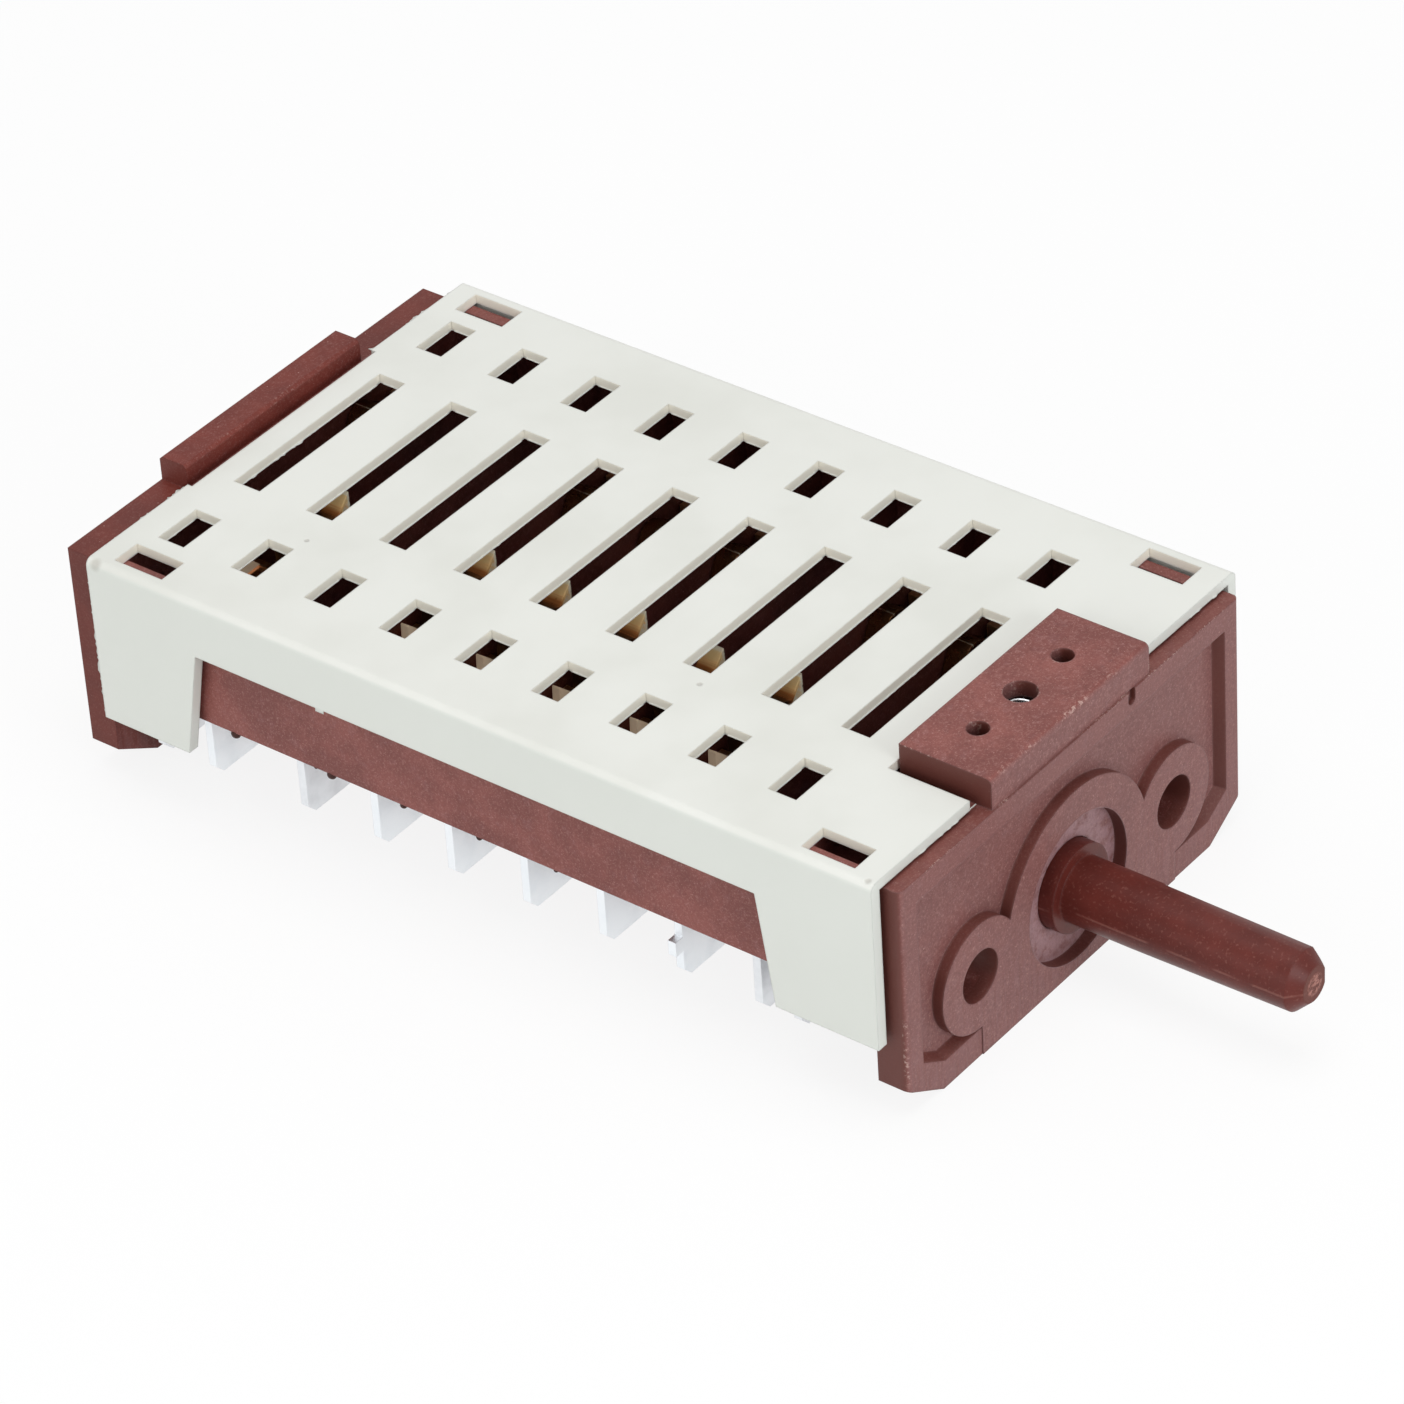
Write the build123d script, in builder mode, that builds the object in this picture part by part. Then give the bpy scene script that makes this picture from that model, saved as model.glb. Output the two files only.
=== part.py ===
# Rotary selector switch for an oven: a moulded housing with nine contact chambers in a row,
# a cam shaft through all of them, an end plate at each end and a slotted cover clipped on top.
# Millimetres. X runs across the switch, Y from the front plate to the rear, Z up.
# The origin lies on the shaft axis, in the plane of the front plate's rim.
import os
from math import cos, radians, sin, sqrt

from build123d import *

os.makedirs("parts", exist_ok=True)

# End plates
plate_half = 24.2
plate_top = 15.0
plate_bottom = -8.2
plate_thickness = 3.0
corner_cut_x = 4.8
corner_cut_z = 2.83
plate_edge_round = 0.6

# Front plate: rim, bosses and holes
rim_depth = 1.0
rim_side = 2.2
rim_top = 2.25
rim_bottom = 2.75
rim_cut_x = 2.9
rim_cut_z = 1.7
rim_draft = 28
boss_proud = 0.1
shaft_boss_radius = 10.08
shaft_recess_radius = 7.02
shaft_recess_floor = 1.15
ear_spacing = 28.0
ear_boss_radius = 5.25
ear_hole_radius = 2.45

# Detent block on top of the front plate
block_half = 11.2
block_front = 0.2
block_rear = 9.35
block_height = 3.0
block_round = 0.5
ball_y = 5.18
ball_radius = 2.0
ball_clearance = 0.05
spring_mouth_radius = 1.5
spring_mouth_depth = 1.6
vent_offset = 6.0
vent_radius = 1.0
sleeve_wall = 1.55
sleeve_gap = 0.4
foot_notch_x = 8.35
foot_notch_radius = 0.5
foot_notch_drop = 1.4
foot_notch_depth = 0.55

# Rear plate
bar_half = 11.8
bar_height = 2.43
bar_chamfer = 0.3
rear_recess_radius = 8.0
rear_recess_depth = 0.6
bearing_wall = 1.2
bearing_end_wall = 0.7

# Housing
housing_wall = 1.2
shelf_bottom = 2.2
shelf_thickness = 1.2
trough_lift = 0.2
trough_floor = 1.1
partition = 1.0
peg_half = 1.3
peg_clearance = 0.05
front_peg_inset = 3.3
front_peg_z = 8.0
front_peg_length = 4.0
rear_peg_inset = 5.2
rear_peg_z = 9.0
rear_peg_length = 1.6
ledge_margin = 0.8
ledge_drop = 2.5

# Chambers, counted from the rear
chambers = 9
pitch = 8.147
front_chamber_y = 14.694
rear_room = 5.23
first_partition_shift = 1.4

# Cover
cover_side_gap = 0.6
cover_wall = 1.1
cover_rise = 1.2
cover_thickness = 0.95
cover_front = 1.5
cover_rear_gap = 0.7
cover_seat_gap = 0.05
cover_round = 0.7
skirt_height = 5.7
leg_reach = 2.7
rear_leg_root = 11.6
rear_leg_tip = 9.6
front_leg_root = 11.9
front_leg_tip = 10.35
block_side_gap = 1.2
block_rear_gap = 0.25
bar_side_gap = 0.7
bar_notch_depth = 0.5
slot_half = 9.92
slot_width = 2.9
window_inner = 15.0
window_outer = 19.95
window_width = 2.84
corner_window_inset = 1.3
corner_window_width = 2.9
corner_window_length = 5.3
rear_corner_window_inset = 4.85
front_corner_window_inset = 5.15
hook_reach = 1.2
hook_gap = 0.05
hook_height = 1.5
hook_lip = 0.3
locating_pad = 0.7
locating_pad_drop = 1.0
locating_pad_length = 5.0
locating_pad_gap = 0.3
locating_pad_every = 2

# Cam shaft
shaft_radius = 3.0
grip_tip_radius = 2.82
grip_end = -7.0
shaft_tip_y = -23.3
shaft_tip_chamfer = 1.15
flat_height = 1.5
flat_ramp = 0.8
collar_step = 1.05
collar_front = -0.3
journal_clearance = 0.05
rear_journal_radius = 2.8
rear_journal_gap = 0.2
axial_play = 0.3
positions = 12
star_notch_sides = 4
drum_radius = 6.6
cam_lift = 1.2
cam_ramp = 3.0
lobe_sink = 1.0
drum_clearance = 0.4

# One row for each chamber from the rear, one digit for each switch position: 1 is a lobe
cam_programme = (
    "010011000110",
    "001100110001",
    "000111000110",
    "010001100001",
    "001100011001",
    "010000111001",
    "000110001100",
    "011000110001",
    "010001111000",
)

# Tabs of each side, one letter for each chamber from the rear: a switched terminal, or a
# tab of the common bar
left_tabs = "CSCSSSSSC"
right_tabs = "SCCSSSCSS"
odd_tab_row = 2
odd_tab_step = 5.87
front_tab_step = 4.0

# Terminals and bus bars
metal = 0.8
tab_width = 6.3
tab_inset = 2.3
tab_drop = 8.2
tab_corner = 1.1
tab_bevel = 0.2
tab_plane_step = 0.2
nib_row = 8
nib_length = 0.95
nib_height = 1.45
nib_drop = 3.7
slot_clearance = 0.05
bus_gap = 2.0
bus_width = 2.2
bus_tongue = 1.7
bus_notch_gap = 0.1
trough_margin = 1.0
shoulder = 0.5
shoulder_height = 1.6
wing_reach = 2.5
wing_rise = 4.1
wing_height = 4.3
stem_root = 2.4
stem_step = 0.9
contact_pad = 1.8
contact_height = 0.4
contact_gap_closed = 0.02
contact_gap_open = 0.6

# Contact springs
spring_metal = 0.3
spring_width = 1.9
spring_side_gap = 0.17
spring_foot = 1.3
spring_foot_inset = 0.65
spring_wide_bend = 0.9
arch_bend = 1.6
arch_x = 8.3
arch_drop = 1.4
arch_flank_drop = 4.2
follower_clearance = 0.05
follower_half = 0.7
shoulder_drop = 1.3
run_step = 3.9
valley_step = 1.4
valley_drop = 1.0
crest_x = 4.5
crest_rise = 0.6
settle = 0.6

# Detent spring
wire_radius = 0.22
wire_sides = 4
detent_coil_radius = 1.5
detent_turns = 3.0

# Heights worked out from the plates
block_top = plate_top + block_height
cover_top = plate_top + cover_rise
cover_under = cover_top - cover_thickness
housing_top = cover_under - cover_seat_gap
shelf_top = shelf_bottom + shelf_thickness
trough_bottom = plate_bottom + trough_lift
trough_inner_bottom = trough_bottom + trough_floor
ledge_top = plate_top - ledge_drop
tab_tip = shelf_bottom - tab_drop
wing_bottom = shelf_top + wing_rise
wing_top = wing_bottom + wing_height
contact_z = (wing_bottom + wing_top) / 2
shoulder_z = housing_top - shoulder_drop

# Widths worked out from the plates
inner_half = plate_half - housing_wall
tab_outer = plate_half - tab_inset
tab_inner = tab_outer - tab_width
tab_centre = (tab_inner + tab_outer) / 2
bus_outer = tab_inner - bus_gap
bus_inner = bus_outer - bus_width
trough_half = bus_inner + trough_margin
trough_inner = trough_half - housing_wall
wing_inner = tab_inner - wing_reach
stem_inner = tab_inner - stem_step
stem_outer = tab_outer - stem_root
front_peg_x = plate_half - front_peg_inset
rear_peg_x = plate_half - rear_peg_inset
ledge_inner = front_peg_x - peg_half - ledge_margin
cover_half = plate_half + cover_side_gap + cover_wall
cover_inner = cover_half - cover_wall
corner_window_outer = cover_half - corner_window_inset
valley_x = crest_x + valley_step
run_x = crest_x + run_step

# Depths worked out from the chambers
housing_front = plate_thickness
rear_chamber_y = front_chamber_y + pitch * (chambers - 1)
housing_rear = rear_chamber_y + rear_room
rear_plate_y = housing_rear
cover_rear = rear_plate_y - cover_rear_gap
chamber_half = (pitch - partition) / 2
spring_front = chamber_half - spring_side_gap - spring_width
tab_front = spring_front + tab_plane_step
corner_windows = (cover_front + front_corner_window_inset, cover_rear - rear_corner_window_inset)

# Drum and detent
cam_root = drum_radius - cam_lift
drum_bore = drum_radius + drum_clearance
collar_radius = shaft_radius + collar_step
star_front = plate_thickness + axial_play
star_width = 2 * (ball_y - star_front)
drum_end = rear_plate_y - axial_play
rear_bore_depth = plate_thickness - bearing_end_wall
step = 360 / positions
follower_angle = step
ball_z = cam_root + ball_radius + ball_clearance

side_words = {-1: "left", 1: "right"}
tab_letters = {-1: left_tabs, 1: right_tabs}


def at_y(y):
    """Plane across the switch at this depth, with its normal towards the front."""
    return Plane(origin=(0, y, 0), x_dir=(1, 0, 0), z_dir=(0, -1, 0))


def chamber_y(number):
    """Centre of a chamber, counted from the rear."""
    return rear_chamber_y - pitch * (number - 1)


def partition_centre(number):
    """Middle of the wall in front of a chamber. The first is set back for the wide second one."""
    shift = first_partition_shift if number == 1 else 0
    return chamber_y(number) - pitch / 2 + shift


def plate_outline():
    """Closed outline that both end plates share."""
    Polyline(
        (-plate_half, plate_top),
        (plate_half, plate_top),
        (plate_half, plate_bottom + corner_cut_z),
        (plate_half - corner_cut_x, plate_bottom),
        (-plate_half + corner_cut_x, plate_bottom),
        (-plate_half, plate_bottom + corner_cut_z),
        close=True,
    )


def on_lobe(number, angle):
    """Whether the cam of a chamber has a lobe at this angle from the top."""
    index = round(angle / step) % positions
    return cam_programme[number - 1][index] == "1"


def tab_rows(side, letter):
    """Chambers whose tab on this side has the letter."""
    return [row for row, found in enumerate(tab_letters[side], start=1) if found == letter]


def common_rows(side):
    """Tabs of a common bar. The left bar has one more tab in front of its first chamber."""
    return tab_rows(side, "C") + (["front"] if side == -1 else [])


def save(piece, name):
    """Label a finished piece and write it."""
    piece.label = name
    export_step(piece, f"parts/{name}.step")


# Housing: one moulding with the chambers, the shelves that carry the terminals and the trough
chamber_limits = [(housing_front, partition_centre(chambers) - partition / 2)]
for number in range(chambers, 0, -1):
    low = partition_centre(number) + partition / 2
    if number > 1:
        high = partition_centre(number - 1) - partition / 2
    else:
        high = chamber_y(1) + chamber_half
    chamber_limits.append((low, high))


def tab_y(side, row):
    """Front face of a tab. Two tabs on the left side stand off the regular spacing."""
    if row == "front":
        return chamber_y(chambers) + tab_front - front_tab_step
    if side == -1 and row == odd_tab_row:
        return chamber_y(row - 1) + tab_front - odd_tab_step
    return chamber_y(row) + tab_front


def tongue_span(side, row):
    """Depth range of the bus bar's tongue at a common tab."""
    face = tab_y(side, row)
    if row == "front":
        return face, face + metal + bus_tongue
    return face - bus_tongue, face + metal


def bus_span(side):
    """Depth range of a bus bar, which reaches under every spring foot on its side."""
    ends = [end for row in common_rows(side) for end in tongue_span(side, row)]
    ends += [chamber_y(row) + spring_front for row in tab_rows(side, "S")]
    ends += [chamber_y(row) + spring_front + spring_width for row in tab_rows(side, "S")]
    return min(ends), max(ends)


with BuildPart() as housing:
    with BuildSketch(at_y(housing_front)):
        with BuildLine():
            Polyline(
                (-plate_half, housing_top),
                (-plate_half, shelf_bottom),
                (-trough_half, shelf_bottom),
                (-trough_half, trough_bottom),
                (trough_half, trough_bottom),
                (trough_half, shelf_bottom),
                (plate_half, shelf_bottom),
                (plate_half, housing_top),
                close=True,
            )
        make_face()
    extrude(amount=housing_front - housing_rear)
    for low, high in chamber_limits:
        room = ledge_inner if low == housing_front else inner_half
        with BuildSketch(at_y(low)):
            with BuildLine():
                Polyline(
                    (-room, housing_top),
                    (-room, shelf_top),
                    (-trough_inner, shelf_top),
                    (-trough_inner, trough_inner_bottom),
                    (trough_inner, trough_inner_bottom),
                    (trough_inner, shelf_top),
                    (room, shelf_top),
                    (room, housing_top),
                    close=True,
                )
            make_face()
        extrude(amount=low - high, mode=Mode.SUBTRACT)
    with BuildSketch(at_y(housing_front)):
        with Locations((0, (ledge_top + housing_top) / 2)):
            Rectangle(2 * inner_half, housing_top - ledge_top)
    extrude(amount=housing_front - chamber_limits[0][1], mode=Mode.SUBTRACT)
    with BuildSketch(at_y(housing_front)):
        RegularPolygon(radius=drum_bore, side_count=positions, major_radius=False)
    extrude(amount=housing_front - housing_rear, mode=Mode.SUBTRACT)
    for side in (-1, 1):
        notch_centre = side * (bus_inner + bus_outer) / 2
        notch_width = bus_outer - bus_inner + 2 * bus_notch_gap
        low, high = bus_span(side)
        with BuildSketch(at_y(low - bus_notch_gap)):
            with Locations((notch_centre, shelf_top + (metal + bus_notch_gap) / 2)):
                Rectangle(notch_width, metal + bus_notch_gap)
        extrude(amount=low - high - 2 * bus_notch_gap, mode=Mode.SUBTRACT)
        with BuildSketch(Plane.XY.offset(shelf_bottom)):
            for row in tab_rows(side, "S") + common_rows(side):
                with Locations((side * tab_centre, tab_y(side, row) + metal / 2)):
                    Rectangle(tab_width + 2 * slot_clearance, metal + 2 * slot_clearance)
        extrude(amount=shelf_thickness, mode=Mode.SUBTRACT)
        with BuildSketch(at_y(housing_front)):
            with Locations((side * front_peg_x, front_peg_z)):
                Rectangle(2 * (peg_half + peg_clearance), 2 * (peg_half + peg_clearance))
        extrude(amount=-front_peg_length - peg_clearance, mode=Mode.SUBTRACT)
        with BuildSketch(at_y(housing_rear)):
            with Locations((side * rear_peg_x, rear_peg_z)):
                Rectangle(2 * (peg_half + peg_clearance), 2 * (peg_half + peg_clearance))
        extrude(amount=housing_rear - chamber_limits[-1][1], mode=Mode.SUBTRACT)
save(housing.part, "housing")

# Front plate: rim, bosses, detent block and the sleeve that guides the ball
sleeve_radius = ball_radius + ball_clearance + sleeve_wall
sleeve_bottom = drum_radius + sleeve_gap
foot_notch_low = plate_top - foot_notch_drop
boss_meet_x = (ear_spacing ** 2 / 4 + shaft_boss_radius ** 2 - ear_boss_radius ** 2) / ear_spacing
boss_meet_z = sqrt(shaft_boss_radius ** 2 - boss_meet_x ** 2)
with BuildPart() as front_plate:
    with BuildSketch(at_y(0)):
        with BuildLine():
            plate_outline()
        make_face()
    extrude(amount=-plate_thickness)
    upright = front_plate.edges().filter_by(Axis.Z).group_by(Axis.Y)[0]
    fillet(upright, radius=plate_edge_round)
    with BuildSketch(at_y(0)):
        with BuildLine():
            Polyline(
                (-plate_half + rim_side, plate_top - rim_top),
                (plate_half - rim_side, plate_top - rim_top),
                (plate_half - rim_side, plate_bottom + rim_bottom + rim_cut_z),
                (plate_half - rim_side - rim_cut_x, plate_bottom + rim_bottom),
                (-plate_half + rim_side + rim_cut_x, plate_bottom + rim_bottom),
                (-plate_half + rim_side, plate_bottom + rim_bottom + rim_cut_z),
                close=True,
            )
        make_face()
    extrude(amount=-rim_depth, taper=rim_draft, mode=Mode.SUBTRACT)
    with BuildSketch(at_y(-boss_proud)):
        with BuildLine():
            plate_outline()
        make_face()
        with BuildSketch(mode=Mode.INTERSECT):
            Circle(shaft_boss_radius)
            with Locations((-ear_spacing / 2, 0), (ear_spacing / 2, 0)):
                Circle(ear_boss_radius)
            with BuildLine():
                Polyline(
                    (-ear_spacing / 2, plate_bottom),
                    (ear_spacing / 2, plate_bottom),
                    (ear_spacing / 2, -ear_boss_radius),
                    (boss_meet_x, -boss_meet_z),
                    (-boss_meet_x, -boss_meet_z),
                    (-ear_spacing / 2, -ear_boss_radius),
                    close=True,
                )
            make_face()
    extrude(amount=-boss_proud - plate_thickness)
    with BuildSketch(at_y(block_front)):
        with Locations((0, plate_top + block_height / 2)):
            Rectangle(2 * block_half, block_height)
    extrude(amount=block_front - block_rear)
    block_edge = front_plate.edges().filter_by(Axis.X).group_by(Axis.Z)[-1].sort_by(Axis.Y)[0]
    fillet(block_edge, radius=block_round)
    with BuildSketch(Plane.XY.offset(sleeve_bottom)):
        with Locations((0, ball_y)):
            Circle(sleeve_radius)
        with Locations((0, (plate_thickness + ball_y) / 2)):
            Rectangle(2 * sleeve_radius, ball_y - plate_thickness)
    extrude(amount=plate_top - sleeve_bottom)
    with BuildSketch(at_y(-boss_proud)):
        Circle(shaft_recess_radius)
    extrude(amount=-boss_proud - shaft_recess_floor, mode=Mode.SUBTRACT)
    with BuildSketch(at_y(-boss_proud)):
        Circle(collar_radius + journal_clearance)
        with Locations((-ear_spacing / 2, 0), (ear_spacing / 2, 0)):
            Circle(ear_hole_radius)
    extrude(amount=-boss_proud - plate_thickness, mode=Mode.SUBTRACT)
    with BuildSketch(at_y(0)):
        with Locations((foot_notch_x, foot_notch_low + foot_notch_radius)):
            Circle(foot_notch_radius)
        with Locations((foot_notch_x, (foot_notch_low + foot_notch_radius + plate_top) / 2)):
            Rectangle(2 * foot_notch_radius, plate_top - foot_notch_low - foot_notch_radius)
    extrude(amount=-foot_notch_depth, mode=Mode.SUBTRACT)
    with BuildSketch(Plane.XY.offset(sleeve_bottom)):
        with Locations((0, ball_y)):
            Circle(ball_radius + ball_clearance)
    extrude(amount=block_top - spring_mouth_depth - sleeve_bottom, mode=Mode.SUBTRACT)
    with BuildSketch(Plane.XY.offset(block_top)):
        with Locations((0, ball_y)):
            Circle(spring_mouth_radius)
    extrude(amount=-spring_mouth_depth, mode=Mode.SUBTRACT)
    with BuildSketch(Plane.XY.offset(block_top)):
        with Locations((-vent_offset, ball_y), (vent_offset, ball_y)):
            Circle(vent_radius)
    extrude(amount=-block_height, mode=Mode.SUBTRACT)
    for side in (-1, 1):
        with BuildSketch(at_y(plate_thickness)):
            with Locations((side * front_peg_x, front_peg_z)):
                Rectangle(2 * peg_half, 2 * peg_half)
        extrude(amount=-front_peg_length)
save(front_plate.part, "front_plate")

# Rear plate: same outline, a bar on top, the rear bearing and two pegs
with BuildPart() as rear_plate:
    with BuildSketch(at_y(rear_plate_y)):
        with BuildLine():
            plate_outline()
        make_face()
    extrude(amount=-plate_thickness)
    with BuildSketch(at_y(rear_plate_y)):
        with Locations((0, plate_top + bar_height / 2)):
            Rectangle(2 * bar_half, bar_height)
    extrude(amount=-plate_thickness)
    bar_edges = rear_plate.edges().filter_by(Axis.X).group_by(Axis.Z)[-1]
    chamfer(bar_edges, length=bar_chamfer)
    with BuildSketch(at_y(rear_plate_y)):
        Circle(rear_journal_radius + journal_clearance)
    extrude(amount=-rear_bore_depth, mode=Mode.SUBTRACT)
    with BuildSketch(at_y(rear_plate_y + plate_thickness)):
        Circle(rear_recess_radius)
        Circle(rear_journal_radius + bearing_wall, mode=Mode.SUBTRACT)
    extrude(amount=rear_recess_depth, mode=Mode.SUBTRACT)
    for side in (-1, 1):
        with BuildSketch(at_y(rear_plate_y)):
            with Locations((side * rear_peg_x, rear_peg_z)):
                Rectangle(2 * peg_half, 2 * peg_half)
        extrude(amount=rear_peg_length)
save(rear_plate.part, "rear_plate")

# Cover: a thin lid with slots and windows over each chamber and four legs with hooks
skirt_bottom = cover_top - skirt_height
leg_bottom = shelf_bottom - leg_reach
block_notch_rear = block_rear + block_rear_gap
with BuildPart() as cover:
    with BuildSketch(Plane.XY.offset(cover_under)):
        with Locations((0, (cover_front + cover_rear) / 2)):
            Rectangle(2 * cover_half, cover_rear - cover_front)
    extrude(amount=cover_thickness)
    for side in (-1, 1):
        side_plane = Plane(origin=(side * cover_inner, 0, 0), x_dir=(0, 1, 0), z_dir=(1, 0, 0))
        with BuildSketch(side_plane):
            with BuildLine():
                Polyline(
                    (cover_front, cover_top),
                    (cover_rear, cover_top),
                    (cover_rear, leg_bottom),
                    (cover_rear - rear_leg_tip, leg_bottom),
                    (cover_rear - rear_leg_root, skirt_bottom),
                    (cover_front + front_leg_root, skirt_bottom),
                    (cover_front + front_leg_tip, leg_bottom),
                    (cover_front, leg_bottom),
                    close=True,
                )
            make_face()
        extrude(amount=side * cover_wall)
    long_edges = cover.edges().filter_by(Axis.Y).group_by(Axis.Z)[-1]
    fillet(long_edges, radius=cover_round)
    for number in range(1, chambers + 1):
        with BuildSketch(Plane.XY.offset(cover_under)):
            with Locations((0, chamber_y(number))):
                Rectangle(2 * slot_half, slot_width)
            window_x = (window_inner + window_outer) / 2
            with Locations((-window_x, chamber_y(number)), (window_x, chamber_y(number))):
                Rectangle(window_outer - window_inner, window_width)
        extrude(amount=cover_thickness, mode=Mode.SUBTRACT)
    with BuildSketch(Plane.XY.offset(cover_under)):
        corner_x = corner_window_outer - corner_window_width / 2
        for corner_y in corner_windows:
            with Locations((-corner_x, corner_y), (corner_x, corner_y)):
                Rectangle(corner_window_width, corner_window_length)
        with Locations((0, (cover_front + block_notch_rear) / 2)):
            Rectangle(2 * (block_half + block_side_gap), block_notch_rear - cover_front)
        with Locations((0, cover_rear - bar_notch_depth / 2)):
            Rectangle(2 * (bar_half + bar_side_gap), bar_notch_depth)
    extrude(amount=cover_thickness, mode=Mode.SUBTRACT)
    hook_inner = cover_inner - hook_reach
    hook_top = shelf_bottom - hook_gap
    for side in (-1, 1):
        for corner_y in corner_windows:
            with BuildSketch(at_y(corner_y - corner_window_length / 2)):
                with BuildLine():
                    Polyline(
                        (side * cover_inner, hook_top),
                        (side * hook_inner, hook_top),
                        (side * hook_inner, hook_top - hook_lip),
                        (side * cover_inner, hook_top - hook_height),
                        close=True,
                    )
                make_face()
            extrude(amount=-corner_window_length)
        pad_x = side * (inner_half - locating_pad_gap - locating_pad / 2)
        with BuildSketch(Plane.XY.offset(cover_under - locating_pad_drop)):
            for number in range(1 + locating_pad_every, chambers, locating_pad_every):
                with Locations((pad_x, chamber_y(number))):
                    Rectangle(locating_pad, locating_pad_length)
        extrude(amount=locating_pad_drop)
save(cover.part, "cover")


def lobe_outline(programme):
    """Lobes of one cam, one for each run of lifted positions, sunk into the drum."""
    with BuildSketch() as outline:
        for first in range(positions):
            if programme[first] == "0" or programme[first - 1] == "1":
                continue
            count = 1
            while programme[(first + count) % positions] == "1":
                count += 1
            start = (first - 0.5) * step
            end = start + count * step
            with BuildLine():
                lobe = ThreePointArc(
                    spot(drum_radius, start + cam_ramp),
                    spot(drum_radius, (start + end) / 2),
                    spot(drum_radius, end - cam_ramp),
                )
                Polyline(
                    lobe @ 1,
                    spot(cam_root - lobe_sink, end + cam_ramp),
                    spot(cam_root - lobe_sink, start - cam_ramp),
                    lobe @ 0,
                )
            make_face()
    return outline.sketch


def spot(radius, angle):
    """Point on a circle round the shaft, with the angle counted from the top."""
    return (radius * sin(radians(angle)), radius * cos(radians(angle)))


# Cam shaft: D shaft, collar, detent star, a drum with nine cams and the disc that ends it
with BuildPart() as camshaft:
    with BuildSketch(Plane.YZ):
        with BuildLine():
            Polyline(
                (grip_end, 0),
                (grip_end, shaft_radius),
                (shaft_tip_y + shaft_tip_chamfer, grip_tip_radius),
                (shaft_tip_y, grip_tip_radius - shaft_tip_chamfer),
                (shaft_tip_y, 0),
                close=True,
            )
        make_face()
    revolve(axis=Axis.Y)
    with BuildSketch(at_y(grip_end)):
        Circle(shaft_radius)
    extrude(amount=grip_end - collar_front)
    with BuildSketch(Plane.XY.offset(-shaft_radius)):
        with BuildLine():
            Polyline(
                (flat_height, shaft_tip_y),
                (flat_height, grip_end - flat_ramp),
                (shaft_radius, grip_end),
                (shaft_radius, shaft_tip_y),
                close=True,
            )
        make_face()
    extrude(amount=2 * shaft_radius, mode=Mode.SUBTRACT)
    with BuildSketch(at_y(collar_front)):
        Circle(collar_radius)
    extrude(amount=collar_front - star_front)
    with BuildSketch(at_y(star_front)):
        Circle(drum_radius)
        with PolarLocations(ball_z, positions, start_angle=90):
            RegularPolygon(radius=ball_radius + ball_clearance, side_count=star_notch_sides,
                           major_radius=False, mode=Mode.SUBTRACT)
    extrude(amount=-star_width)
    with BuildSketch(at_y(star_front + star_width)):
        Circle(cam_root)
    extrude(amount=star_front + star_width - drum_end)
    for number in range(1, chambers + 1):
        with BuildSketch(at_y(chamber_y(number) + spring_front - follower_clearance)):
            add(lobe_outline(cam_programme[number - 1]))
        extrude(amount=-spring_width - 2 * follower_clearance)
    with BuildSketch(at_y(chamber_limits[-1][1])):
        Circle(drum_radius)
    extrude(amount=chamber_limits[-1][1] - drum_end)
    with BuildSketch(at_y(drum_end)):
        Circle(rear_journal_radius)
    extrude(amount=-axial_play - rear_bore_depth + rear_journal_gap)
save(camshaft.part, "camshaft")

# Detent ball, held in its sleeve above the star wheel
with BuildPart() as detent_ball:
    with BuildSketch(Plane.YZ):
        with BuildLine():
            ball_arc = ThreePointArc(
                (ball_y, ball_z - ball_radius),
                (ball_y + ball_radius, ball_z),
                (ball_y, ball_z + ball_radius),
            )
            Line(ball_arc @ 1, ball_arc @ 0)
        make_face()
    revolve(axis=Axis((0, ball_y, 0), (0, 0, 1)))
save(detent_ball.part, "detent_ball")

# Detent spring, between the ball and the shoulder under the block's mouth
coil_low = ball_z + sqrt((ball_radius + wire_radius + follower_clearance) ** 2 - detent_coil_radius ** 2)
coil_high = block_top - spring_mouth_depth - wire_radius - follower_clearance
with BuildPart() as detent_spring:
    with BuildLine() as coil:
        Helix(
            pitch=(coil_high - coil_low) / detent_turns,
            height=coil_high - coil_low,
            radius=detent_coil_radius,
            center=(0, ball_y, coil_low),
        )
    with BuildSketch(Plane(origin=coil.line @ 0, z_dir=coil.line % 0)):
        RegularPolygon(radius=wire_radius, side_count=wire_sides)
    sweep(is_frenet=True)
save(detent_spring.part, "detent_spring")


def tab_outline():
    """Push-on tab below the shelf, with its two tip corners cut."""
    return [
        (tab_inner, tab_tip + tab_corner),
        (tab_inner + tab_corner, tab_tip),
        (tab_outer - tab_corner, tab_tip),
        (tab_outer, tab_tip + tab_corner),
    ]


def mirrored(side, points):
    """Points given by their distance from the middle, set on one side of the switch."""
    return [(side * x, z) for x, z in points]


def blade_profile(side, points, with_nib=False):
    """Sheet outline through the given points, closed by the tab and one side nib where asked."""
    with BuildSketch() as profile:
        with BuildLine():
            Polyline(*mirrored(side, tab_outline() + points), close=True)
        make_face()
        if with_nib:
            nib_z = shelf_bottom - nib_drop - nib_height / 2
            with Locations((side * (tab_outer + nib_length / 2), nib_z)):
                Rectangle(nib_length, nib_height)
    return profile.sketch


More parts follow.
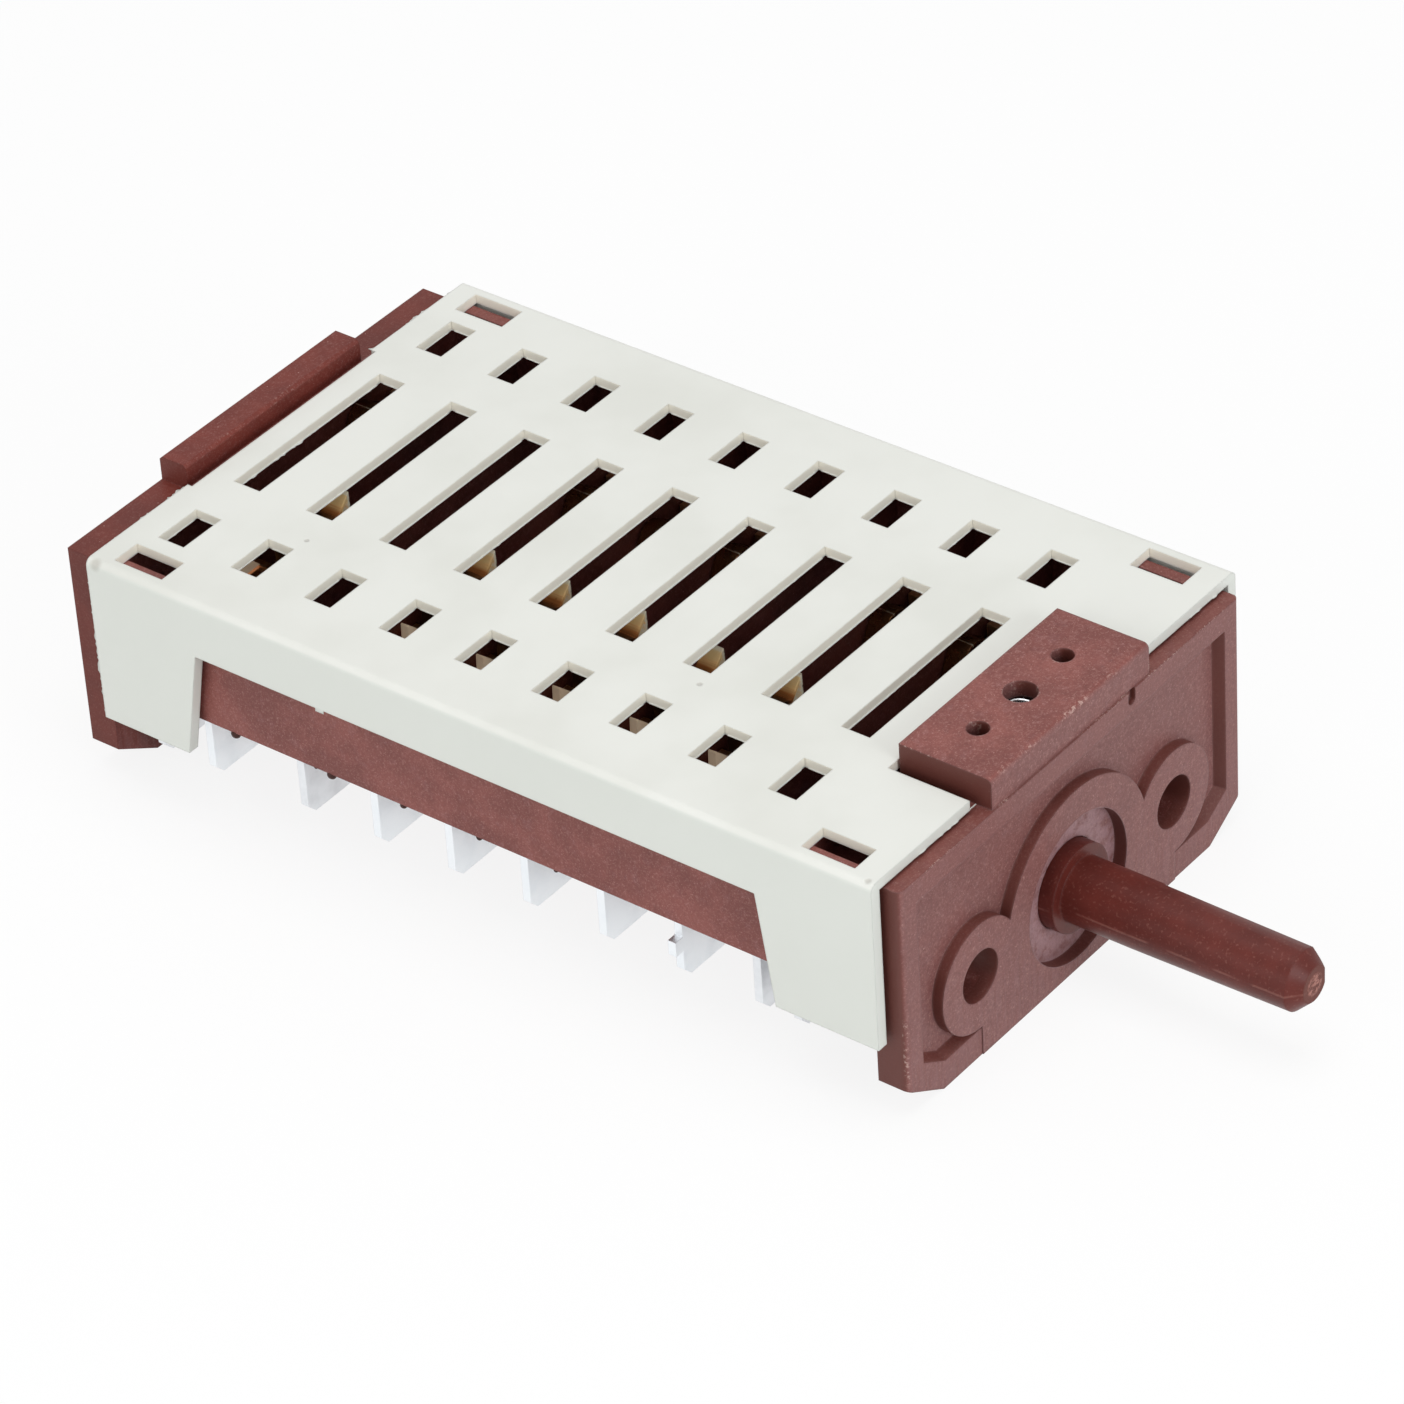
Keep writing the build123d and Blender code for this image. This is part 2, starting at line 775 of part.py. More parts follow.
def terminal(side, number):
    """Output terminal: tab, shoulders on the shelf and the wing that carries the fixed contact."""
    front = tab_y(side, number)
    wing_rear = max(front + metal, chamber_y(number) + spring_front + spring_width)
    wing_front = min(front, chamber_y(number) + tab_front)
    upper = [
        (tab_outer, shelf_top),
        (tab_outer + shoulder, shelf_top),
        (tab_outer + shoulder, shelf_top + shoulder_height),
        (stem_outer, shelf_top + shoulder_height),
        (stem_outer - shoulder_height, wing_top),
        (wing_inner, wing_top),
        (wing_inner, wing_bottom),
        (stem_inner, wing_bottom - shoulder_height),
        (stem_inner, shelf_top),
        (tab_inner, shelf_top),
    ]
    with BuildPart() as blade:
        with BuildSketch(at_y(front)):
            add(blade_profile(side, upper, with_nib=side == -1 and number == nib_row))
        extrude(amount=-metal)
        tip_edges = blade.edges().filter_by(Axis.X).group_by(Axis.Z)[0]
        chamfer(tip_edges, length=tab_bevel)
        with BuildSketch(at_y(wing_front)):
            with Locations((side * (wing_inner + metal / 2), contact_z)):
                Rectangle(metal, wing_height)
        extrude(amount=wing_front - wing_rear)
    return blade.part


def bus_bar(side):
    """Common bar on the shelf, with a tongue and a turned-down tab at each common terminal."""
    low, high = bus_span(side)
    with BuildPart() as bar:
        with BuildSketch(Plane.XY.offset(shelf_top)):
            with Locations((side * (bus_inner + bus_outer) / 2, (low + high) / 2)):
                Rectangle(bus_outer - bus_inner, high - low)
            for row in common_rows(side):
                with Locations((side * (bus_inner + tab_outer) / 2, sum(tongue_span(side, row)) / 2)):
                    Rectangle(tab_outer - bus_inner, bus_tongue + metal)
        extrude(amount=metal)
        for row in common_rows(side):
            with BuildSketch(at_y(tab_y(side, row))):
                upper = [(tab_outer, shelf_top + metal), (tab_inner, shelf_top + metal)]
                add(blade_profile(side, upper))
            extrude(amount=-metal)
        tip_edges = bar.edges().filter_by(Axis.X).group_by(Axis.Z)[0]
        chamfer(tip_edges, length=tab_bevel)
    return bar.part


def spring_state(side, number):
    """How far the cam lifts a spring at rest, and where that puts its flank and follower."""
    lifted = on_lobe(number, side * follower_angle)
    gap = contact_gap_closed if lifted else contact_gap_open
    flank = wing_inner - 2 * contact_height - gap - spring_metal / 2
    cam_radius = drum_radius if lifted else cam_root
    drop = 0 if lifted else settle
    return flank, cam_radius + spring_metal / 2 + follower_clearance, drop


def folded_top(flank, drop):
    """Points and bends from flank to follower of a left spring: shoulder, valley and crest."""
    wide_bend = min(spring_wide_bend, (flank - run_x) / 2)
    points = [
        (flank, shoulder_z - drop / 2),
        (run_x, shoulder_z - drop / 2),
        (valley_x, shoulder_z - valley_drop - drop),
        (crest_x, shoulder_z + crest_rise - drop),
    ]
    return points, [wide_bend, wide_bend, 0, 0]


def arched_top(flank, drop):
    """Points and bends from flank to follower of a right spring: a single arch."""
    points = [
        (flank, housing_top - arch_flank_drop),
        (arch_x, housing_top - arch_drop - drop),
    ]
    return points, [0, arch_bend]


def contact_spring(side, number):
    """Leaf spring: foot on the bus bar, flank, stiffened top and cam follower."""
    flank, reach, drop = spring_state(side, number)
    foot_z = shelf_top + metal + spring_metal / 2
    touch_x, touch_z = spot(reach, follower_angle)
    along_x = follower_half * cos(radians(follower_angle))
    along_z = follower_half * sin(radians(follower_angle))
    top, bends = folded_top(flank, drop) if side == -1 else arched_top(flank, drop)
    path = [
        (bus_inner + spring_foot_inset + spring_foot, foot_z),
        (bus_inner + spring_foot_inset, foot_z),
        (flank, contact_z - contact_pad / 2 - contact_height),
        *top,
        (touch_x + along_x, touch_z - along_z),
        (touch_x - along_x, touch_z + along_z),
    ]
    with BuildPart() as leaf:
        with BuildSketch(at_y(chamber_y(number) + spring_front)):
            with BuildLine():
                FilletPolyline(*mirrored(side, path), radius=[0, 0, *bends, 0])
            trace(line_width=spring_metal)
        extrude(amount=-spring_width)
    return leaf.part


def contact(side, number, face, direction):
    """Flat silver contact, welded with its back to a face and standing off in one direction."""
    centre_y = chamber_y(number) + spring_front + spring_width / 2
    back = Plane(origin=(side * face, centre_y, contact_z), x_dir=(0, 1, 0),
                 z_dir=(side * direction, 0, 0))
    with BuildPart() as pad:
        with BuildSketch(back):
            Rectangle(contact_pad, contact_pad)
        extrude(amount=contact_height)
    return pad.part


for side, word in side_words.items():
    switched = tab_rows(side, "S")
    for number in switched:
        save(terminal(side, number), f"{word}_terminal_{number}")
        save(contact_spring(side, number), f"{word}_contact_spring_{number}")
    save(bus_bar(side), f"{word}_bus_bar")
    fixed = [contact(side, n, wing_inner, -1) for n in switched]
    with BuildPart() as fixed_contacts:
        add(fixed)
    save(fixed_contacts.part, f"{word}_fixed_contacts")
    moving = [contact(side, n, spring_state(side, n)[0] + spring_metal / 2, 1) for n in switched]
    with BuildPart() as moving_contacts:
        add(moving)
    save(moving_contacts.part, f"{word}_moving_contacts")
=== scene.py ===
import logging
import math
import random
from abc import ABC, abstractmethod
from dataclasses import dataclass
from enum import Enum
from typing import Mapping, Sequence, Union

import bmesh
import bpy
from mathutils import Matrix, Vector


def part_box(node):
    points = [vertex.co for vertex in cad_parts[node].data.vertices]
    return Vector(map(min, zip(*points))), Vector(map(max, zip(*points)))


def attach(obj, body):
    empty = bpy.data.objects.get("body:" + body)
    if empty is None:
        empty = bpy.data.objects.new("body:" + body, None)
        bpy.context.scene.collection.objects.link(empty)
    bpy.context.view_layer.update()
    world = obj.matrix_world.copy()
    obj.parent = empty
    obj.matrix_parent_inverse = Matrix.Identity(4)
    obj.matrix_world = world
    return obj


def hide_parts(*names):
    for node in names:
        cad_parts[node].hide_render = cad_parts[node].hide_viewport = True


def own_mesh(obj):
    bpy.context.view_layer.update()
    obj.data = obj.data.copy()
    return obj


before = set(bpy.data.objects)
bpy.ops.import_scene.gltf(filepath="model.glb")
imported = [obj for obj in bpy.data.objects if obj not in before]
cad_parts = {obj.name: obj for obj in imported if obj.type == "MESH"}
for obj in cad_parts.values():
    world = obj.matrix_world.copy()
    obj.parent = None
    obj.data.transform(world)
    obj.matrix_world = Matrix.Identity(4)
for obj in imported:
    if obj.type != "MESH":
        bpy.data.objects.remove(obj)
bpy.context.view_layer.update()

# Fields hold lengths in millimetres, unless their class says otherwise. Blender's are in metres.
MM = 0.001

log = logging.getLogger("selector switch")

Colour = tuple[float, float, float, float]
Point = tuple[float, float, float]
Band = tuple[float, float]

# Values of one part of the normal, between which a surface comes to face that way.
FRONT_FACING: Band = (-0.5, -0.95)
SIDE_FACING: Band = (0.5, 0.95)
TOP_FACING: Band = (0.7, 0.95)
WALL_FACING: Band = (0.6, 0.3)

# Numbers of the Mix node's sockets when it mixes colours.
MIX_FACTOR, MIX_FIRST, MIX_SECOND, MIX_RESULT = 0, 6, 7, 2

# Width of a dot's soft edge, as a share of its cell.
DOT_EDGE = 0.05


def srgb(red: float, green: float, blue: float) -> Colour:
    """Turns a display colour into the linear colour that shaders use.

    Args:
        red: Red from 0 to 255.
        green: Green from 0 to 255.
        blue: Blue from 0 to 255.

    Returns:
        The linear colour with full opacity.
    """
    def linear(level: float) -> float:
        """Linear level of one channel."""
        part = level / 255
        return part / 12.92 if part <= 0.04045 else ((part + 0.055) / 1.055) ** 2.4

    return (linear(red), linear(green), linear(blue), 1.0)


WHITE = srgb(255, 255, 255)
FILLER = srgb(204, 162, 153)
# Pale dusty tone; along the edges it is also a painted highlight.
PALE_DUST_AND_HIGHLIGHT = srgb(142, 104, 106)


@dataclass(frozen=True)
class Noise:
    """Cloudy noise of a finish: features in a metre, and its finer layers and their strength.

    The height says how far it stands proud, and the dulling what it adds to the roughness.
    """

    scale: float
    detail: float = 2.0
    roughness: float = 0.5
    height: float = 0.0
    dulling: float = 0.0


@dataclass(frozen=True)
class Dots:
    """Round dots of a finish: cells in a metre, and radii of the dots as shares of a cell.

    A cell has one dot at most. Where the smallest radius is under 0, many cells stay empty.
    The height says how far the dots stand proud, and the dulling what they add to the roughness.
    """

    scale: float
    smallest: float
    largest: float
    height: float = 0.0
    dulling: float = 0.0


@dataclass(frozen=True)
class Tint:
    """A colour that a mask brings in, with its strength and the band that the mask rises over."""

    colour: Colour
    strength: float = 1.0
    band: Band | None = None


class Wire:
    """An output socket that arithmetic can be done with. Each operation adds a Math node."""

    def __init__(self, graph: "Graph", socket: bpy.types.NodeSocket) -> None:
        """Keeps the socket and the graph that it belongs to."""
        self.graph = graph
        self.socket = socket

    def __add__(self, other: "Value") -> "Wire":
        """This value plus the other."""
        return self.graph.math("ADD", self, other)

    def __radd__(self, other: "Value") -> "Wire":
        """The other value plus this."""
        return self.graph.math("ADD", other, self)

    def __sub__(self, other: "Value") -> "Wire":
        """This value less the other."""
        return self.graph.math("SUBTRACT", self, other)

    def __rsub__(self, other: "Value") -> "Wire":
        """The other value less this."""
        return self.graph.math("SUBTRACT", other, self)

    def __mul__(self, other: "Value") -> "Wire":
        """This value times the other."""
        return self.graph.math("MULTIPLY", self, other)

    def __rmul__(self, other: "Value") -> "Wire":
        """The other value times this."""
        return self.graph.math("MULTIPLY", other, self)

    def __gt__(self, other: "Value") -> "Wire":
        """1 where this value is the larger, else 0."""
        return self.graph.math("GREATER_THAN", self, other)

    def __lt__(self, other: "Value") -> "Wire":
        """1 where this value is the smaller, else 0."""
        return self.graph.math("LESS_THAN", self, other)

    def __abs__(self) -> "Wire":
        """Size of this value without its sign."""
        return self.graph.math("ABSOLUTE", self)

    def step(self, low: float, high: float) -> "Wire":
        """Smooth rise from 0 where this value is low to 1 where it is high.

        Args:
            low: Value at which the result is 0.
            high: Value at which the result is 1. It may be the smaller of the two.

        Returns:
            The smooth step.
        """
        made = self.graph.node(
            "ShaderNodeMapRange",
            {"interpolation_type": "SMOOTHSTEP"},
            {"Value": self, "From Min": low, "From Max": high},
        )
        return Wire(self.graph, made.outputs["Result"])


Value = Union[Wire, float, Sequence[float]]


class Graph:
    """Node tree of a material or of the world."""

    def __init__(self, owner: bpy.types.Material | bpy.types.World) -> None:
        """Starts an empty node tree.

        Args:
            owner: Material or world that the nodes belong to.
        """
        owner.use_nodes = True
        self.owner = owner
        self.tree = owner.node_tree
        self.tree.nodes.clear()

    def node(
        self,
        kind: str,
        settings: Mapping[str, object] | None = None,
        sockets: Mapping[str | int, Value] | None = None,
    ) -> bpy.types.Node:
        """Adds one node, sets it and feeds its sockets.

        Args:
            kind: Type name of the node.
            settings: Node settings, and "stops" for the places and colours of a ramp.
            sockets: Values or wires by the name or number of the input socket.

        Returns:
            The new node.
        """
        made = self.tree.nodes.new(kind)
        for name, value in (settings or {}).items():
            if name == "stops":
                elements = made.color_ramp.elements
                while len(elements) < len(value):
                    elements.new(1.0)
                for element, (place, colour) in zip(elements, value):
                    element.position = place
                    element.color = colour
            else:
                setattr(made, name, value)
        for key, value in (sockets or {}).items():
            if isinstance(value, Wire):
                self.tree.links.new(value.socket, made.inputs[key])
            else:
                made.inputs[key].default_value = value
        return made

    def math(self, operation: str, *values: Value) -> Wire:
        """Result of a Math node on up to three values."""
        made = self.node("ShaderNodeMath", {"operation": operation}, dict(enumerate(values)))
        return Wire(self, made.outputs[0])

    def vector(self, operation: str, *values: Value) -> bpy.types.Node:
        """Vector Math node on one or two vectors."""
        return self.node("ShaderNodeVectorMath", {"operation": operation}, dict(enumerate(values)))

    def split(self, vector: Wire) -> tuple[Wire, Wire, Wire]:
        """The three parts of a vector."""
        made = self.node("ShaderNodeSeparateXYZ", sockets={0: vector})
        return tuple(Wire(self, output) for output in made.outputs)

    def normal(self) -> Wire:
        """The surface's own normal."""
        return Wire(self, self.node("ShaderNodeNewGeometry").outputs["Normal"])

    def blend(self, factor: Value, first: Value, second: Value) -> Wire:
        """Mixes two colours.

        Args:
            factor: How much of the second colour shows.
            first: Colour where the factor is 0.
            second: Colour where the factor is 1.

        Returns:
            The mixed colour.
        """
        made = self.node(
            "ShaderNodeMix",
            {"data_type": "RGBA", "clamp_factor": True},
            {MIX_FACTOR: factor, MIX_FIRST: first, MIX_SECOND: second},
        )
        return Wire(self, made.outputs[MIX_RESULT])

    def tint(self, colour: Value, mask: Wire, tint: Tint, amount: float = 1.0) -> Wire:
        """Lays a tint over a colour.

        Args:
            colour: Colour underneath.
            mask: Where the tint shows.
            tint: Tint that is laid over it.
            amount: Factor on the tint's strength.

        Returns:
            The tinted colour.
        """
        shown = mask.step(*tint.band) if tint.band else mask
        return self.blend(shown * (tint.strength * amount), colour, tint.colour)

    def stretched(self, place: Wire, scale: Sequence[float]) -> Wire:
        """Position multiplied along each axis."""
        return Wire(self, self.vector("MULTIPLY", place, scale).outputs["Vector"])

    def noise(self, place: Wire, noise: Noise) -> Wire:
        """Cloudy noise between 0 and 1.

        Args:
            place: Position that it is read at.
            noise: Kind of noise.

        Returns:
            The noise value.
        """
        made = self.node("ShaderNodeTexNoise", sockets={
            "Vector": place,
            "Scale": noise.scale,
            "Detail": noise.detail,
            "Roughness": noise.roughness,
        })
        return Wire(self, made.outputs["Fac"])

    def dots(self, place: Wire, dots: Dots) -> Wire:
        """Round dots of mixed sizes scattered over the surface.

        Args:
            place: Position that they are read at.
            dots: Kind of dots.

        Returns:
            1 in a dot and 0 outside.
        """
        made = self.node("ShaderNodeTexVoronoi", sockets={"Vector": place, "Scale": dots.scale})
        chance = self.split(Wire(self, made.outputs["Color"]))[0]
        radius = chance * chance * (dots.largest - dots.smallest) + dots.smallest
        return (radius - Wire(self, made.outputs["Distance"])).step(0.0, DOT_EDGE)

    def near(self, place: Wire, centre: Point, radius: float, core: float = 0.3) -> Wire:
        """Soft round patch.

        Args:
            place: Position on the piece.
            centre: Middle of the patch in millimetres.
            radius: Radius of the patch in millimetres.
            core: Share of the radius inside which the patch is full.

        Returns:
            1 in the middle, falling to 0 at the radius.
        """
        middle = tuple(part * MM for part in centre)
        distance = Wire(self, self.vector("DISTANCE", place, middle).outputs["Value"])
        return distance.step(radius * MM, radius * MM * core)

    def rounded(self, radius: float, samples: int = 4) -> Wire:
        """Normal that rounds every edge by a radius in millimetres."""
        made = self.node("ShaderNodeBevel", {"samples": samples}, {"Radius": radius * MM})
        return Wire(self, made.outputs["Normal"])

    def edge(self, rounded: Wire, bend: Band) -> Wire:
        """How near a point is to an edge.

        Args:
            rounded: Normal from the rounded method.
            bend: Bends of that normal at which the result leaves 0 and reaches 1.

        Returns:
            0 on a flat stretch, rising to 1 at an edge.
        """
        along = Wire(self, self.vector("DOT_PRODUCT", rounded, self.normal()).outputs["Value"])
        return (1.0 - along).step(*bend)

    def bump(self, height: Wire, depth: float, normal: Wire) -> Wire:
        """Normal from a height.

        Args:
            height: Height, where 1 stands the full depth proud.
            depth: Depth in millimetres.
            normal: Normal that the bumps stand on.

        Returns:
            The bumped normal.
        """
        made = self.node("ShaderNodeBump", sockets={
            "Height": height,
            "Distance": depth * MM,
            "Strength": 1.0,
            "Normal": normal,
        })
        return Wire(self, made.outputs["Normal"])

    def seen(self) -> Wire:
        """Tells what is looked at from what only gives light.

        Returns:
            1 where the camera looks, itself, by a reflection or through glass, else 0.
        """
        rays = self.node("ShaderNodeLightPath")
        direct, mirrored, through = (
            Wire(self, rays.outputs[f"Is {kind} Ray"]) for kind in ("Camera", "Glossy", "Transmission")
        )
        return self.math("MAXIMUM", self.math("MAXIMUM", direct, mirrored), through)

    def mix_shaders(self, factor: Wire, first: bpy.types.Node, second: bpy.types.Node) -> Wire:
        """Mixes what two shader nodes give.

        Args:
            factor: How much of the second shader shows.
            first: Shader where the factor is 0.
            second: Shader where the factor is 1.

        Returns:
            The mixed shader.
        """
        shaders = {1: Wire(self, first.outputs[0]), 2: Wire(self, second.outputs[0])}
        made = self.node("ShaderNodeMixShader", sockets={0: factor, **shaders})
        return Wire(self, made.outputs[0])

    def output(self, kind: str, shader: Wire) -> None:
        """Feeds the surface of an output node, which is a material's or the world's."""
        self.node(kind, sockets={"Surface": shader})

    def finish(self, sockets: Mapping[str | int, Value]) -> bpy.types.Material:
        """Closes the material with the main shader.

        Args:
            sockets: Values or wires of the shader.

        Returns:
            The finished material.
        """
        shader = self.node("ShaderNodeBsdfPrincipled", sockets=sockets)
        self.output("ShaderNodeOutputMaterial", Wire(self, shader.outputs["BSDF"]))
        return self.owner


class Spot:
    """Where a point of a surface lies in the shared frame, in metres, and which way it faces."""

    def __init__(self, g: Graph) -> None:
        """Adds the nodes that tell them.

        Args:
            g: Node tree of the finish.
        """
        self.place = Wire(g, g.node("ShaderNodeTexCoord").outputs["Object"])
        self.x, self.y, self.z = g.split(self.place)
        self.facing_x, self.facing_y, self.facing_z = g.split(g.normal())
        self.to_front = self.facing_y.step(*FRONT_FACING)


@dataclass(frozen=True)
class PaintedSheen:
    """Painted sheen on the faces that look to the front, and a paler painted reflection on the shaft's
    recess floor.
    """

    colour: Colour = srgb(123, 81, 78)
    amount: float = 0.75
    least: float = 0.7
    swing: float = 0.6
    # Painted reflection on the recess floor round the shaft.
    floor_sheen: Tint = Tint(srgb(166, 130, 134), 0.8)
    floor_cloud: Band = (0.22, 0.6)
    floor_radius: float = 7.02
    floor_fade: float = 0.1

    def over(self, g: Graph, spot: Spot, cloud: Wire, colour: Wire) -> Wire:
        """Lays the painted sheen over a colour.

        Args:
            g: Node tree of the finish.
            spot: Place and direction of the surface.
            cloud: Noise that makes the painted sheen uneven.
            colour: Colour underneath.

        Returns:
            The colour with the painted sheen.
        """
        # Painted sheen: faces that look to the front are made paler.
        sheen_share = spot.to_front * self.amount * (self.least + self.swing * cloud)
        colour = g.blend(sheen_share, colour, self.colour)
        radius = g.math("SQRT", spot.x * spot.x + spot.z * spot.z)
        floor = radius.step((self.floor_radius + self.floor_fade) * MM, self.floor_radius * MM)
        return g.tint(colour, floor * spot.to_front * cloud.step(*self.floor_cloud), self.floor_sheen)


@dataclass(frozen=True)
class PaintedShade:
    """Painted shade on the sides, on the walls of the front's relief and on low shelves under the cover.
    """

    amount: float
    colour: Colour = srgb(90, 43, 35)
    relief: float = 1.3
    under_rim: float = 14.6
    wall_share: float = 0.7
    shelf_top: float = 15.3
    shelf_share: float = 0.4

    def over(self, g: Graph, spot: Spot, colour: Wire) -> Wire:
        """Lays the painted shade over a colour.

        Args:
            g: Node tree of the finish.
            spot: Place and direction of the surface.
            colour: Colour underneath.

        Returns:
            The colour with its skin.
        """
        side = abs(spot.facing_x).step(*SIDE_FACING)
        wall = (1.0 - spot.to_front) * (spot.y < self.relief * MM) * (spot.z < self.under_rim * MM)
        shelf = spot.facing_z.step(*TOP_FACING) * (spot.z < self.shelf_top * MM) * self.shelf_share
        # Painted shade: sides, relief walls and shelves under the cover are darkened.
        painted_shade = g.math("MAXIMUM", g.math("MAXIMUM", side, wall * self.wall_share), shelf)
        return g.blend(painted_shade * self.amount, colour, self.colour)


@dataclass(frozen=True)
class Wear:
    """Pale chips along the outer edges, a pale edge tint that is partly rub wear and partly painted
    highlight, and fine upright tool marks low on the front.
    """

    amount: float
    chip: Colour = srgb(228, 200, 188)
    chip_depth: float = 0.8
    flake: Noise = Noise(2600, 4.0, 0.75)
    flake_band: Band = (0.52, 0.58)
    stretch: Noise = Noise(190)
    stretch_band: Band = (0.46, 0.62)
    crest_bend: Band = (0.12, 0.22)
    corner_band: Band = (0.28, 0.42)
    corner_share: float = 0.5
    worn_x: float = 23.4
    worn_z: float = 14.7
    edge_bend: Band = (0.01, 0.16)
    # Pale tint along every edge: partly rub wear, partly painted highlight.
    edge_wear_and_highlight: Tint = Tint(PALE_DUST_AND_HIGHLIGHT, 0.15)
    ribs: Noise = Noise(1.0, 1.0, height=0.9)
    rib_stretch: Point = (2300.0, 2300.0, 240.0)
    rib_band: Band = (0.38, 0.62)
    rib_dust: Tint = Tint(PALE_DUST_AND_HIGHLIGHT, 0.16)
    ribs_from: float = 4.0
    ribs_to: float = -5.0

    def chips(self, g: Graph, spot: Spot, rounded: Wire) -> Wire:
        """Finds the chipped places.

        Args:
            g: Node tree of the finish.
            spot: Place and direction of the surface.
            rounded: Normal with rounded edges.

        Returns:
            How chipped each place is.
        """
        flake = g.noise(spot.place, self.flake).step(*self.flake_band)
        stretch = g.noise(spot.place, self.stretch).step(*self.stretch_band)
        crest = g.edge(rounded, self.crest_bend)
        slant = abs(spot.facing_x * spot.facing_y) + abs(spot.facing_y * spot.facing_z)
        corner = slant.step(*self.corner_band) * self.corner_share
        outer = g.math("MAXIMUM", abs(spot.x) > self.worn_x * MM, spot.z > self.worn_z * MM)
        return g.math("MAXIMUM", crest, corner) * outer * flake * stretch * self.amount

    def over(
        self, g: Graph, spot: Spot, rounded: Wire, colour: Wire, height: Wire,
    ) -> tuple[Wire, Wire]:
        """Adds the wear to a surface.

        Args:
            g: Node tree of the finish.
            spot: Place and direction of the surface.
            rounded: Normal with rounded edges.
            colour: Colour underneath.
            height: Height underneath.

        Returns:
            The worn colour and height.
        """
        chipped = self.chips(g, spot, rounded)
        # Pale edge tint: partly rub wear, partly painted highlight.
        colour = g.tint(colour, g.edge(rounded, self.edge_bend), self.edge_wear_and_highlight, self.amount)
        colour = g.blend(chipped, colour, self.chip)
        ribs = g.noise(g.stretched(spot.place, self.rib_stretch), self.ribs).step(*self.rib_band)
        ribs = ribs * (spot.z.step(self.ribs_from * MM, self.ribs_to * MM) * spot.to_front)
        colour = g.tint(colour, ribs, self.rib_dust)
        return colour, height + ribs * self.ribs.height - chipped * self.chip_depth


@dataclass(frozen=True)
class BrownMoulding:
    """Filled brown thermoset with a dense fine grain and pale flecks.

    Painted front sheen, painted shade and wear are added where a moulding has them.
    """

    name: str
    base: Colour = srgb(133, 73, 66)
    dark: Colour = srgb(113, 58, 52)
    mottle: Band = (0.35, 0.7)
    broad: Noise = Noise(170, 3.0, 0.6)
    cloud: Noise = Noise(900, 3.0, 0.6, dulling=0.12)
    grain: Noise = Noise(3300, 3.0, 0.65, height=1.0)
    fine: Noise = Noise(7200, height=0.6)
    flecks: Dots = Dots(2500, -0.6, 0.2, height=0.3, dulling=-0.1)
    haze: Tint = Tint(PALE_DUST_AND_HIGHLIGHT, 1.0, (0.5, 0.8))
    haze_amount: float = 0.25
    pale_grain: Tint = Tint(FILLER, 0.15, (0.5, 0.74))
    dark_grain: Tint = Tint(srgb(58, 24, 20), 0.2, (0.48, 0.28))
    fine_grain: Tint = Tint(FILLER, 0.24, (0.58, 0.72))
    grain_amount: float = 1.0
    fleck: Tint = Tint(FILLER, 0.45)
    front_sheen: PaintedSheen | None = None
    painted_shade: PaintedShade | None = None
    wear: Wear | None = None
    roughness: float = 0.5
    gloss: float = 0.45
    edge_round: float = 0.18
    depth: float = 0.017

    def build(self) -> bpy.types.Material:
        """Makes the material.

        Returns:
            The finished material.
        """
        g = Graph(bpy.data.materials.new(self.name))
        spot = Spot(g)
        cloud = g.noise(spot.place, self.cloud)
        grain = g.noise(spot.place, self.grain)
        fine = g.noise(spot.place, self.fine)
        flecks = g.dots(spot.place, self.flecks)
        rounded = g.rounded(self.edge_round)
        colour = g.blend(g.noise(spot.place, self.broad).step(*self.mottle), self.dark, self.base)
        # Painted sheen on the front faces and painted reflection on the recess floor.
        if self.front_sheen:
            colour = self.front_sheen.over(g, spot, cloud, colour)
        colour = g.tint(colour, cloud, self.haze, self.haze_amount)
        for pattern, tint in ((grain, self.pale_grain), (grain, self.dark_grain), (fine, self.fine_grain)):
            colour = g.tint(colour, pattern, tint, self.grain_amount)
        colour = g.tint(colour, flecks, self.fleck)
        # Painted shade on the sides, the relief's walls and low shelves.
        if self.painted_shade:
            colour = self.painted_shade.over(g, spot, colour)
        height = grain * self.grain.height + fine * self.fine.height + flecks * self.flecks.height
        if self.wear:
            colour, height = self.wear.over(g, spot, rounded, colour, height)
        return g.finish({
            "Base Color": colour,
            "Roughness": self.roughness + cloud * self.cloud.dulling + flecks * self.flecks.dulling,
            "Normal": g.bump(height, self.depth * self.grain_amount, rounded),
            "Specular IOR Level": self.gloss,
        })


